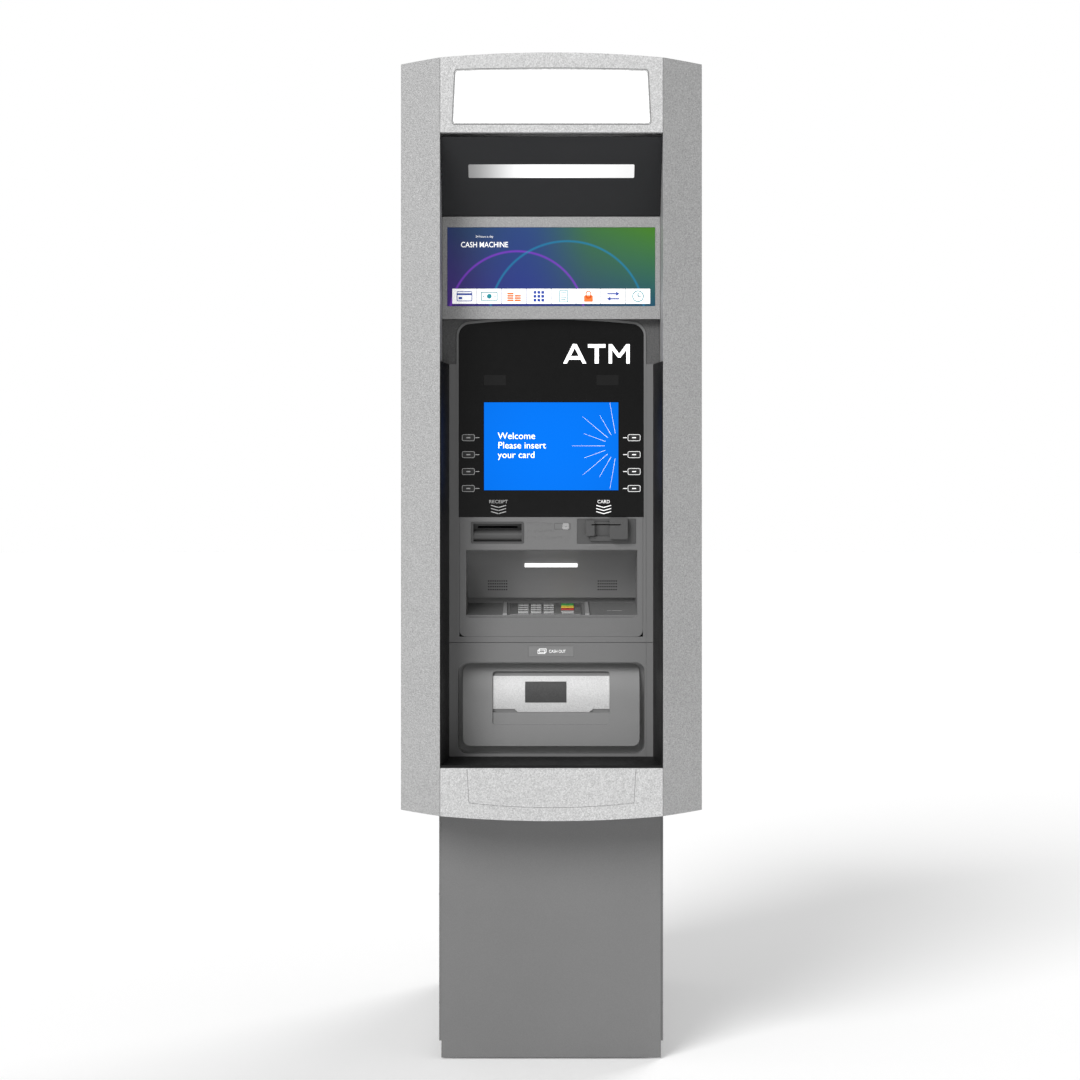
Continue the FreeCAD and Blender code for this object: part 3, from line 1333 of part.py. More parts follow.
def safe_handle():
    """The lever handle on its spindle, with the crank that moves the bolts' carriage."""
    outside = f"({SAFE_REAR} + door_plate)"
    spindle = rod("handle_spindle", "spindle_radius",
                  "door_plate + handle_hub_length + crank_setback", "handle_offset",
                  f"{SAFE_REAR} - crank_setback", "handle_level", Y_AXIS)
    hub = rod("handle_hub", "handle_hub_radius", "handle_hub_length", "handle_offset",
              f"{outside} + outside_gap", "handle_level", Y_AXIS)
    lever = plate("handle_lever", "handle_offset - handle_width / 2", "handle_width",
                  "handle_level - handle_length", "handle_length + handle_width / 2",
                  f"{outside} + handle_standoff", "handle_thickness", "handle_corner")
    crank = box("handle_crank", "handle_offset - crank_length", "crank_length + spindle_radius",
                f"{SAFE_REAR} - crank_setback", "crank_thickness",
                "handle_level - crank_height / 2", "crank_height")
    node(fuse("safe_handle_solid", spindle, hub, lever, crank), "safe_handle")


def combination_dial():
    """The combination lock's dial on its spindle."""
    outside = f"({SAFE_REAR} + door_plate + outside_gap)"
    knob = rod("dial_knob", "dial_knob_radius", "dial_depth", "dial_offset", outside,
               "dial_level", Y_AXIS)
    flange = rod("dial_flange", "dial_radius", "dial_flange", "dial_offset", outside,
                 "dial_level", Y_AXIS)
    spindle = rod("dial_spindle", "dial_spindle_radius",
                  "crank_setback + door_plate + dial_flange", "dial_offset",
                  f"{SAFE_REAR} - crank_setback", "dial_level", Y_AXIS)
    node(fuse("combination_dial_solid", knob, flange, spindle), "combination_dial")


# ---------------------------------------------------------------- rear door
DOOR_AXIS_X = f"({HALF_CABINET} + rear_hinge_standoff)"
DOOR_FRONT = f"({REAR} - rear_door_depth)"
DOOR_AXIS_Y = f"({DOOR_FRONT} + rear_hinge_radius)"
DOOR_KNUCKLES = ("rear_door_bottom + rear_hinge_low", "rear_door_bottom + rear_hinge_middle",
                 "cabinet_top - rear_hinge_high")
LOCK_X = f"(-{HALF_CABINET} + lock_inset)"


def rear_door():
    """The service door behind the upper cabinet: a pan with a return and knuckles."""
    low = "rear_door_bottom"
    height = "(cabinet_top - rear_door_bottom)"
    pan = box("rear_pan", f"-{HALF_CABINET}", "cabinet_width", f"{DOOR_FRONT} + outside_gap",
              "rear_door_depth - outside_gap", low, height)
    room = box("rear_pan_room", f"-{HALF_CABINET} + sheet_thickness",
               "cabinet_width - 2 * sheet_thickness", f"{DOOR_FRONT} - cut_over",
               "rear_door_depth + cut_over - sheet_thickness", f"{low} + sheet_thickness",
               f"{height} - 2 * sheet_thickness")
    parts = [cut("rear_pan_shell", pan, room)]
    holes = []
    for index, level in enumerate(DOOR_KNUCKLES, start=1):
        above = f"{level} + rear_knuckle + hinge_play"
        parts.append(rod(f"rear_knuckle_{index}", "rear_hinge_radius", "rear_door_knuckle",
                         DOOR_AXIS_X, DOOR_AXIS_Y, above))
        parts.append(box(f"rear_leaf_{index}", f"{HALF_CABINET} - cut_over",
                         "rear_leaf_thickness + cut_over", f"{DOOR_AXIS_Y} - rear_hinge_radius / 2",
                         "rear_hinge_radius + 2", above, "rear_door_knuckle"))
        holes.append(rod(f"rear_bore_{index}", "rear_pin_radius + hinge_gap",
                         "rear_door_knuckle + 2 * cut_over", DOOR_AXIS_X, DOOR_AXIS_Y,
                         f"{above} - cut_over"))
    holes.append(rod("lock_hole", "lock_radius + shaft_gap", "rear_door_depth * 2", LOCK_X,
                     DOOR_FRONT, "lock_level", Y_AXIS))
    node(cut("rear_door_solid", fuse("rear_door_parts", *parts), *holes), "rear_door")


def cabinet_hinges():
    """The pins and fixed knuckles that the rear door turns on, as part of the cabinet."""
    parts = []
    for index, level in enumerate(DOOR_KNUCKLES, start=1):
        parts.append(rod(f"cabinet_knuckle_{index}", "rear_hinge_radius", "rear_knuckle",
                         DOOR_AXIS_X, DOOR_AXIS_Y, level))
        parts.append(rod(f"cabinet_pin_{index}", "rear_pin_radius", "rear_pin", DOOR_AXIS_X,
                         DOOR_AXIS_Y, level))
        parts.append(box(f"cabinet_leaf_{index}", HALF_CABINET, "rear_leaf_thickness",
                         f"{DOOR_FRONT} - tool_reach / 2",
                         "tool_reach / 2 + rear_leaf_thickness", level, "rear_knuckle"))
    return parts


def rear_lock():
    """The quarter-turn lock of the rear door, with its cam upright and unlocked."""
    behind = f"({DOOR_FRONT} - lock_cam_setback)"
    barrel = rod("lock_barrel", "lock_radius", "rear_door_depth + lock_head + cut_over", LOCK_X,
                 f"{DOOR_FRONT} - lock_keyway", "lock_level", Y_AXIS)
    head = rod("lock_head", "lock_radius + lock_head", "lock_head", LOCK_X,
               f"{REAR} + lock_keyway / 4", "lock_level", Y_AXIS)
    cam = box("lock_cam", f"{LOCK_X} - lock_cam_width / 2", "lock_cam_width", behind,
              "lock_cam_thickness", "lock_level - lock_cam_width / 2",
              "lock_cam_length + lock_cam_width / 2")
    hub = rod("lock_cam_hub", "lock_radius - lock_head", "lock_cam_setback", LOCK_X, behind,
              "lock_level", Y_AXIS)
    keyway = box("lock_keyway", f"{LOCK_X} - lock_keyway / 2", "lock_keyway",
                 f"{REAR} + outside_gap", "lock_cam_setback", "lock_level - lock_radius / 2",
                 "lock_radius")
    node(cut("rear_door_lock_solid", fuse("lock_solid", barrel, head, cam, hub), keyway),
         "rear_door_lock")


# ---------------------------------------------------------------- feet and equipment
def feet():
    """Four levelling feet under the safe."""
    parts = []
    for x in ("-safe_width / 2 + foot_inset", "safe_width / 2 - foot_inset"):
        for y in (f"{SAFE_FRONT} + foot_inset", f"{SAFE_REAR} - foot_inset"):
            number_of = len(parts) + 1
            pad_disc = rod(f"foot_pad_{number_of}", "foot_radius", "foot_height", x, y, "0")
            stem = rod(f"foot_stem_{number_of}", "foot_stem_radius", "safe_bottom", x, y, "0")
            parts.append(fuse(f"foot_{number_of}", pad_disc, stem))
    group = doc.addObject("Part::Compound", "feet_group")
    group.Links = parts
    node(group, "levelling_feet")


DISPENSER_FRONT = f"({SAFE_FRONT} + safe_wall + dispenser_front_gap)"
CASSETTE_LENGTH = f"({SAFE_REAR} - {DISPENSER_FRONT} - cassette_rear_gap)"


def dispenser():
    """The note dispenser: an open-backed case with the cassette's bay and the nose."""
    low = "(safe_bottom + safe_wall)"
    length = f"({CASSETTE_LENGTH} + dispenser_rear_room)"
    inside = f"{DISPENSER_FRONT} + dispenser_front_wall"
    case = box("dispenser_case", "-dispenser_width / 2", "dispenser_width", DISPENSER_FRONT,
               length, low, f"nose_top + dispenser_roof - {low}")
    bay = box("dispenser_bay", "-cassette_width / 2 - cassette_gap",
              "cassette_width + 2 * cassette_gap", inside, length,
              "cassette_level - cassette_gap", "cassette_height + 2 * cassette_gap")
    reject = box("dispenser_reject_bay", "-cassette_width / 2", "cassette_width", inside, length,
                 "cassette_level + cassette_height + reject_rise", "reject_height")
    path = box("dispenser_path", "-nose_width / 2 + path_wall", "nose_width - 2 * path_wall",
               CABINET, "4 * tool_reach", "nose_bottom + path_wall",
               "nose_top - nose_bottom - 2 * path_wall")
    nose = box("dispenser_nose", "-nose_width / 2", "nose_width",
               f"{FASCIA} + pocket_depth + backing_plate + path_wall", "nose_reach",
               "nose_bottom", "nose_top - nose_bottom")
    node(cut("cash_dispenser_solid", fuse("dispenser_solid", case, nose), bay, reject, path),
         "cash_dispenser")


def cassette():
    """The removable note cassette with its carrying handle."""
    front = f"({DISPENSER_FRONT} + dispenser_front_wall + 4 * cassette_gap)"
    middle = "(cassette_level + cassette_height / 2)"
    case = box("cassette_case", "-cassette_width / 2", "cassette_width", front,
               CASSETTE_LENGTH, "cassette_level", "cassette_height")
    room = box("cassette_room", "-cassette_width / 2 + cassette_wall",
               "cassette_width - 2 * cassette_wall", f"{front} + cassette_wall",
               f"{CASSETTE_LENGTH} - 2 * cassette_wall", "cassette_level + cassette_wall",
               "cassette_height - 2 * cassette_wall")
    grip = box("cassette_grip", "-cassette_grip_width / 2", "cassette_grip_width",
               f"{front} + {CASSETTE_LENGTH} - cut_over", "cassette_grip_depth",
               f"{middle} - cassette_grip_height / 2", "cassette_grip_height")
    hand = box("cassette_hand", "-cassette_hand_width / 2", "cassette_hand_width",
               f"{front} + {CASSETTE_LENGTH}", "cassette_hand_depth",
               f"{middle} - cassette_grip_height", "2 * cassette_grip_height")
    node(cut("cash_cassette_solid", fuse("cassette_solid", cut("cassette_shell", case, room),
                                         grip), hand), "cash_cassette")


# ---------------------------------------------------------------- the machine
def build():
    """Make every sub-part."""
    wing("left", -1)
    wing("right", 1)
    header()
    footer()
    soffit()
    advert()
    liner()
    upper_frame()
    screen_bezel()
    display_module()
    side_keys()
    keypad_panel()
    pin_pad()
    pin_pad_keys()
    recess_lamp()
    receipt_outlet()
    card_reader()
    headphone_jack()
    cash_frame()
    cash_outlet()
    cabinet_shell()
    front_cover()
    safe_body()
    safe_door()
    safe_bolts()
    safe_handle()
    combination_dial()
    rear_door()
    rear_lock()
    feet()
    dispenser()
    cassette()
    doc.recompute()


def check_document():
    """Stop if any object failed, or a sub-part's shape is null or not valid."""
    for item in doc.Objects:
        if "Invalid" in item.State or "Error" in item.State:
            raise RuntimeError(f"{item.Name} failed: {item.State}")
    for item in NODES:
        if item.Shape.isNull() or not item.Shape.isValid():
            raise RuntimeError(f"{item.Label} has no valid shape")


def export():
    """Write each sub-part to its own STEP file."""
    os.makedirs("parts", exist_ok=True)
    for item in NODES:
        item.Shape.exportStep(f"parts/{item.Label}.step")


build()
check_document()
export()
print(len(NODES), "sub-parts written")
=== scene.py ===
"""Lobby cash machine, dressed: coatings, mouldings, printed legends, the lit screen and the studio.

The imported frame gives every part's place. Lengths are metres, +Z is up and the front faces -Y.
"""

import json
import logging
import math
from dataclasses import dataclass, field
from enum import Enum
from typing import Iterable, Sequence

import bpy
import numpy as np
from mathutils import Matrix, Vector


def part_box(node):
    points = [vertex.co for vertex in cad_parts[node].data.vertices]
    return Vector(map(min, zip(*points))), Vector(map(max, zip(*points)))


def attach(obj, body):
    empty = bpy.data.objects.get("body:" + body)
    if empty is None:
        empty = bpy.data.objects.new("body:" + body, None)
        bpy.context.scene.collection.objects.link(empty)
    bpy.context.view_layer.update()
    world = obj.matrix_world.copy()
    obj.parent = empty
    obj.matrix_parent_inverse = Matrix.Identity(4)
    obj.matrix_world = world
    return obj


LOG = logging.getLogger("cash_machine")
Face = tuple[int, ...]
Socket = bpy.types.NodeSocket
Colour = tuple[float, float, float]

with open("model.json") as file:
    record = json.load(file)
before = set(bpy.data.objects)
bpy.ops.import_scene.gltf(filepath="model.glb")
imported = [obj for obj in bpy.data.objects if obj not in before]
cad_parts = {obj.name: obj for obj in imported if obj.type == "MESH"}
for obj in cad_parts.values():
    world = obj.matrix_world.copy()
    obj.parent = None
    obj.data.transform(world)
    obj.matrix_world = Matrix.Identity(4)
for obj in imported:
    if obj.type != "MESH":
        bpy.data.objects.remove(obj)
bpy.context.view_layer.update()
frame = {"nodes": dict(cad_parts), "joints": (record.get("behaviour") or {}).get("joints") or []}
MILLI = 0.001


def grey(level: float) -> Colour:
    """Return a neutral linear colour."""
    return (level, level, level)


def srgb(red: int, green: int, blue: int) -> Colour:
    """Turn a display colour of three bytes into the linear values that shaders take.

    Args:
        red: Red, 0 to 255.
        green: Green, 0 to 255.
        blue: Blue, 0 to 255.

    Returns:
        The linear colour.
    """
    bytes_in = np.array([red, green, blue]) / 255.0
    linear = np.where(bytes_in <= 0.04045, bytes_in / 12.92, ((bytes_in + 0.055) / 1.055) ** 2.4)
    return tuple(float(value) for value in linear)


# ---------------------------------------------------------------------------- geometry
@dataclass(frozen=True)
class Plane:
    """A flat drawing plane in space, with its own right, up and outward directions."""

    origin: tuple[float, float, float]
    right: tuple[float, float, float] = (1.0, 0.0, 0.0)
    up: tuple[float, float, float] = (0.0, 0.0, 1.0)

    def outward(self) -> np.ndarray:
        """Return the unit direction that points away from the surface."""
        return np.cross(np.array(self.right), np.array(self.up))

    def lift(self, flat: np.ndarray, height: float | np.ndarray) -> np.ndarray:
        """Carry flat points into space.

        Args:
            flat: Points on the plane, shape (n, 2).
            height: Distance outward from the plane.

        Returns:
            Points in space, shape (n, 3): origin + u * right + v * up + height * outward.
        """
        out = np.array(self.origin) + np.outer(flat[:, 0], self.right)
        out = out + np.outer(flat[:, 1], self.up)
        return out + np.outer(np.broadcast_to(height, len(flat)), self.outward())


class Stock:
    """Points and faces gathered from many small shapes, cut out as one mesh."""

    def __init__(self) -> None:
        """Start with nothing gathered."""
        self.points: list[np.ndarray] = []
        self.faces: list[Face] = []
        self.count = 0

    def add(self, points: np.ndarray, faces: Iterable[Face]) -> "Stock":
        """Gather one shape.

        Args:
            points: Its points, shape (n, 3).
            faces: Its faces as indices into those points.

        Returns:
            This stock, so calls can be chained.
        """
        self.points.append(np.asarray(points, dtype=float))
        self.faces.extend(tuple(int(i) + self.count for i in face) for face in faces)
        self.count += len(points)
        return self

    def prism(self, plane: Plane, outline: np.ndarray, low: float, high: float) -> "Stock":
        """Gather a closed flat outline carried from one height to another.

        Args:
            plane: The plane that the outline is drawn on.
            outline: Anticlockwise points, shape (n, 2).
            low: Height of the back face.
            high: Height of the front face.

        Returns:
            This stock.
        """
        size = len(outline)
        index = np.arange(size)
        after = (index + 1) % size
        sides = np.stack([index, after, after + size, index + size], axis=1)
        points = np.vstack([plane.lift(outline, low), plane.lift(outline, high)])
        caps = [tuple(index[::-1]), tuple(index + size)]
        return self.add(points, caps + [tuple(side) for side in sides])

    def band(self, plane: Plane, outer: np.ndarray, inner: np.ndarray, low: float,
             high: float) -> "Stock":
        """Gather the flat band between two outlines of equally many points.

        Args:
            plane: The plane that the outlines are drawn on.
            outer: Outer outline, anticlockwise.
            inner: Inner outline, point for point with the outer one.
            low: Height of the band's back.
            high: Height of the band's front.

        Returns:
            This stock.
        """
        size = len(outer)
        index = np.arange(size)
        after = (index + 1) % size
        rings = [plane.lift(outer, low), plane.lift(outer, high), plane.lift(inner, high),
                 plane.lift(inner, low)]
        faces = [np.stack([index + a * size, after + a * size, after + b * size, index + b * size],
                          axis=1) for a, b in ((0, 1), (1, 2), (2, 3), (3, 0))]
        return self.add(np.vstack(rings), [tuple(face) for face in np.vstack(faces)])

    def turned(self, plane: Plane, centre: tuple[float, float], profile: np.ndarray,
               steps: int = 16) -> "Stock":
        """Gather a profile turned about the plane's normal, closed at its last point.

        Args:
            plane: The plane that the piece stands on.
            centre: The axis's place on the plane.
            profile: Radius and height pairs from the rim to the crown, shape (m, 2).
            steps: Points round a turn.

        Returns:
            This stock.
        """
        angle = np.linspace(0.0, 2.0 * math.pi, steps, endpoint=False)
        circle = np.stack([np.cos(angle), np.sin(angle)], axis=1)
        rings = [plane.lift(circle * radius + np.array(centre), height)
                 for radius, height in profile]
        index = np.arange(steps)
        after = (index + 1) % steps
        faces: list[Face] = [tuple(index[::-1])]
        for level in range(len(profile) - 1):
            low, high = level * steps, (level + 1) * steps
            quads = np.stack([index + low, after + low, after + high, index + high], axis=1)
            faces.extend(tuple(quad) for quad in quads)
        faces.append(tuple(index + (len(profile) - 1) * steps))
        return self.add(np.vstack(rings), faces)

    def lettering(self, plane: Plane, text: str, centre: tuple[float, float], height: float,
                  low: float, high: float, width: float | None = None,
                  weight: float = 0.0) -> "Stock":
        """Gather raised lettering.

        Args:
            plane: The plane that it is printed on.
            text: The characters; lines are parted by a line feed.
            centre: The middle of the lettering on the plane.
            height: Height of the whole lettering.
            low: Height of its back over the plane.
            high: Height of its front over the plane.
            width: Width of the whole lettering, or None to keep the letters' own.
            weight: How much bolder the strokes are, as a share of the letters' size.

        Returns:
            This stock.
        """
        curve = bpy.data.curves.new("lettering", "FONT")
        curve.body = text
        curve.extrude = 0.5
        curve.offset = weight
        curve.resolution_u = 3
        curve.align_x = "LEFT" if "\n" in text else "CENTER"
        holder = bpy.data.objects.new("lettering", curve)
        bpy.context.scene.collection.objects.link(holder)
        graph = bpy.context.evaluated_depsgraph_get()
        mesh = bpy.data.meshes.new_from_object(holder.evaluated_get(graph))
        flat = np.zeros(len(mesh.vertices) * 3)
        mesh.vertices.foreach_get("co", flat)
        flat = flat.reshape(-1, 3)
        faces = [tuple(polygon.vertices) for polygon in mesh.polygons]
        bpy.data.objects.remove(holder)
        bpy.data.curves.remove(curve)
        bpy.data.meshes.remove(mesh)
        least, most = flat.min(axis=0), flat.max(axis=0)
        scale_v = height / (most[1] - least[1])
        scale_u = scale_v if width is None else width / (most[0] - least[0])
        middle = (least + most) / 2.0
        drawn = (flat[:, :2] - middle[:2]) * np.array([scale_u, scale_v]) + np.array(centre)
        depth = low + (flat[:, 2] - least[2]) / (most[2] - least[2]) * (high - low)
        return self.add(plane.lift(drawn, depth), faces)

    def piece(self, name: str, finish: "Finish", body: str, slot: str) -> bpy.types.Object:
        """Cut the gathered shapes out as one object that rides on a body.

        Args:
            name: The piece's name.
            finish: What it is made of.
            body: The body that it rides on.
            slot: The record's material slot; not used.

        Returns:
            The new object.
        """
        mesh = bpy.data.meshes.new(name)
        mesh.from_pydata(np.vstack(self.points).tolist(), [], self.faces)
        mesh.update()
        mesh.materials.append(finish.material())
        item = bpy.data.objects.new(name, mesh)
        bpy.context.scene.collection.objects.link(item)
        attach(item, body)
        LOG.info("%s: %d points on %s", name, self.count, body)
        return item


def rounded(width: float, height: float, radius: float, centre: tuple[float, float] = (0.0, 0.0),
            steps: int = 6) -> np.ndarray:
    """Draw a rounded rectangle.

    Args:
        width: Overall width.
        height: Overall height.
        radius: Corner radius.
        centre: Its middle.
        steps: Points in each corner's quarter turn.

    Returns:
        Anticlockwise points: each corner's centre plus a quarter circle of the radius.
    """
    quarter = np.linspace(0.0, math.pi / 2.0, steps)
    angle = (quarter[None, :] + np.arange(4)[:, None] * math.pi / 2.0).reshape(-1)
    sign_u = np.repeat([1.0, -1.0, -1.0, 1.0], steps)
    sign_v = np.repeat([1.0, 1.0, -1.0, -1.0], steps)
    u = sign_u * (width / 2.0 - radius) + radius * np.cos(angle) + centre[0]
    v = sign_v * (height / 2.0 - radius) + radius * np.sin(angle) + centre[1]
    return np.stack([u, v], axis=1)


def stroke(start: tuple[float, float], end: tuple[float, float], width: float,
           taper: float = 1.0) -> np.ndarray:
    """Draw a straight stroke as a four-sided outline.

    Args:
        start: Its first end.
        end: Its last end.
        width: Its width at the first end.
        taper: The share of the width left at the last end.

    Returns:
        Anticlockwise points.
    """
    first, last = np.array(start), np.array(end)
    along = (last - first) / np.linalg.norm(last - first)
    side = np.array([along[1], -along[0]]) * width / 2.0
    return np.array([first + side, last + side * taper, last - side * taper, first - side])


def disc(radius: float, centre: tuple[float, float], steps: int = 12) -> np.ndarray:
    """Return the anticlockwise outline of a disc."""
    angle = np.linspace(0.0, 2.0 * math.pi, steps, endpoint=False)
    return np.stack([np.cos(angle), np.sin(angle)], axis=1) * radius + np.array(centre)


# ---------------------------------------------------------------------------- shader groups
class Wiring:
    """A node tree with short calls for the nodes that the finishes use."""

    def __init__(self, tree: bpy.types.NodeTree) -> None:
        """Wrap a node tree."""
        self.tree = tree

    def node(self, kind: str, **settings: object) -> bpy.types.Node:
        """Add a node and set its properties.

        Args:
            kind: The node's kind, without its prefix.

        Returns:
            The placed node.
        """
        made = self.tree.nodes.new("ShaderNode" + kind)
        for name, value in settings.items():
            setattr(made, name, value)
        return made

    def join(self, source: Socket, target: Socket) -> None:
        """Link two sockets."""
        self.tree.links.new(source, target)

    def feed(self, target: Socket, value: "Socket | float | Colour") -> None:
        """Link a socket to the target, or set the target's own value.

        Args:
            target: The socket that takes it.
            value: The value, or the socket that carries it.
        """
        if isinstance(value, bpy.types.NodeSocket):
            self.join(value, target)
        elif isinstance(value, tuple):
            target.default_value = (*value, 1.0) if len(target.default_value) == 4 else value
        else:
            target.default_value = value

    def maths(self, operation: str, first: "Socket | float", second: "Socket | float" = 0.0,
              clamp: bool = False) -> Socket:
        """Add a calculation of one or two values and return its result.

        Args:
            operation: The Math node's operation.
            first: The first value.
            second: The second value.
            clamp: True to hold the result between 0 and 1.

        Returns:
            The result's socket.
        """
        made = self.node("Math", operation=operation, use_clamp=clamp)
        self.feed(made.inputs[0], first)
        self.feed(made.inputs[1], second)
        return made.outputs[0]

    def mixed(self, factor: "Socket | float", first: "Socket | Colour",
              second: "Socket | Colour", blend: str = "MIX") -> Socket:
        """Mix two colours and return the result.

        Args:
            factor: The share of the second colour.
            first: The first colour.
            second: The second colour.
            blend: How the two are mixed.

        Returns:
            The result's socket.
        """
        made = self.node("Mix", data_type="RGBA", blend_type=blend)
        self.feed(made.inputs[0], factor)
        self.feed(made.inputs[6], first)
        self.feed(made.inputs[7], second)
        return made.outputs[2]

    def place(self) -> Socket:
        """Return the object coordinates."""
        return self.node("TexCoord").outputs["Object"]

    def noise(self, scale: "Socket | float", detail: float, where: Socket | None = None,
              rough: float = 0.5) -> Socket:
        """Add noise over the object coordinates and return its value.

        Args:
            scale: How fine the pattern is.
            detail: How many finer layers it has.
            where: The coordinates, or None for the object's own.
            rough: How strong the finer layers are.

        Returns:
            The result's socket.
        """
        made = self.node("TexNoise")
        self.join(where if where is not None else self.place(), made.inputs["Vector"])
        self.feed(made.inputs["Scale"], scale)
        made.inputs["Detail"].default_value = detail
        made.inputs["Roughness"].default_value = rough
        return made.outputs["Fac"]

    def spread(self, value: Socket, low: "Socket | float", high: "Socket | float",
               start: float = 0.0, end: float = 1.0, smooth: bool = False) -> Socket:
        """Map a value from one range to another, held at the ends.

        Args:
            value: The value, or the socket that carries it.
            low: The lowest result.
            high: The highest result.
            start: The value that gives the lowest.
            end: The value that gives the highest.
            smooth: True for a soft start and end.

        Returns:
            The result's socket.
        """
        made = self.node("MapRange", interpolation_type="SMOOTHSTEP" if smooth else "LINEAR")
        self.join(value, made.inputs[0])
        for slot_index, bound in enumerate((start, end, low, high), start=1):
            self.feed(made.inputs[slot_index], bound)
        return made.outputs[0]


class Effect(Enum):
    """The surface effects that several finishes share, each built once as a node group."""

    GRAIN = "surface_grain"
    SOILING = "surface_soiling"
    BRUSHED = "brushed_lines"

    def group(self) -> bpy.types.NodeTree:
        """Return the effect's node group, building it the first time.

        Returns:
            The effect's tree.
        """
        found = bpy.data.node_groups.get(self.value)
        if found is not None:
            return found
        tree = bpy.data.node_groups.new(self.value, "ShaderNodeTree")
        face = tree.interface
        face.new_socket("Scale", in_out="INPUT", socket_type="NodeSocketFloat")
        face.new_socket("Amount", in_out="INPUT", socket_type="NodeSocketFloat")
        face.new_socket("Factor", in_out="OUTPUT", socket_type="NodeSocketFloat")
        face.new_socket("Height", in_out="OUTPUT", socket_type="NodeSocketFloat")
        wiring = Wiring(tree)
        enter = tree.nodes.new("NodeGroupInput")
        leave = tree.nodes.new("NodeGroupOutput")
        scale, amount = enter.outputs["Scale"], enter.outputs["Amount"]
        if self is Effect.GRAIN:
            height = self._grain(wiring, scale)
        elif self is Effect.SOILING:
            height = self._soiling(wiring, scale)
        else:
            height = self._brushed(wiring, scale)
        signed = wiring.maths("SUBTRACT", height, 0.5)
        factor = wiring.maths("MULTIPLY", signed, amount)
        wiring.join(wiring.maths("ADD", factor, 1.0), leave.inputs["Factor"])
        wiring.join(height, leave.inputs["Height"])
        return tree

    @staticmethod
    def _grain(wiring: Wiring, scale: Socket) -> Socket:
        """Two sizes of noise, the finer one twice as fine, for sand and moulding textures.

        Args:
            wiring: The tree that it is built in.
            scale: How fine the pattern is.

        Returns:
            The result's socket.
        """
        coarse = wiring.noise(scale, 2.0)
        fine = wiring.noise(wiring.maths("MULTIPLY", scale, 2.3), 1.0)
        both = wiring.maths("MULTIPLY", wiring.maths("ADD", coarse, fine), 0.5)
        return wiring.spread(both, 0.0, 1.0, 0.34, 0.66)

    @staticmethod
    def _soiling(wiring: Wiring, scale: Socket) -> Socket:
        """Broad drifting blotches, as of handling and uneven cleaning."""
        broad = wiring.noise(scale, 4.0, rough=0.62)
        return wiring.spread(broad, 0.0, 1.0, 0.3, 0.7, smooth=True)

    @staticmethod
    def _brushed(wiring: Wiring, scale: Socket) -> Socket:
        """Noise stretched a hundredfold along X, for a brushed grain.

        Args:
            wiring: The tree that it is built in.
            scale: How fine the pattern is.

        Returns:
            The result's socket.
        """
        mapping = wiring.node("Mapping")
        wiring.join(wiring.place(), mapping.inputs["Vector"])
        mapping.inputs["Scale"].default_value = (0.02, 1.0, 1.0)
        lines = wiring.noise(scale, 3.0, mapping.outputs["Vector"])
        return wiring.spread(lines, 0.0, 1.0, 0.35, 0.65)


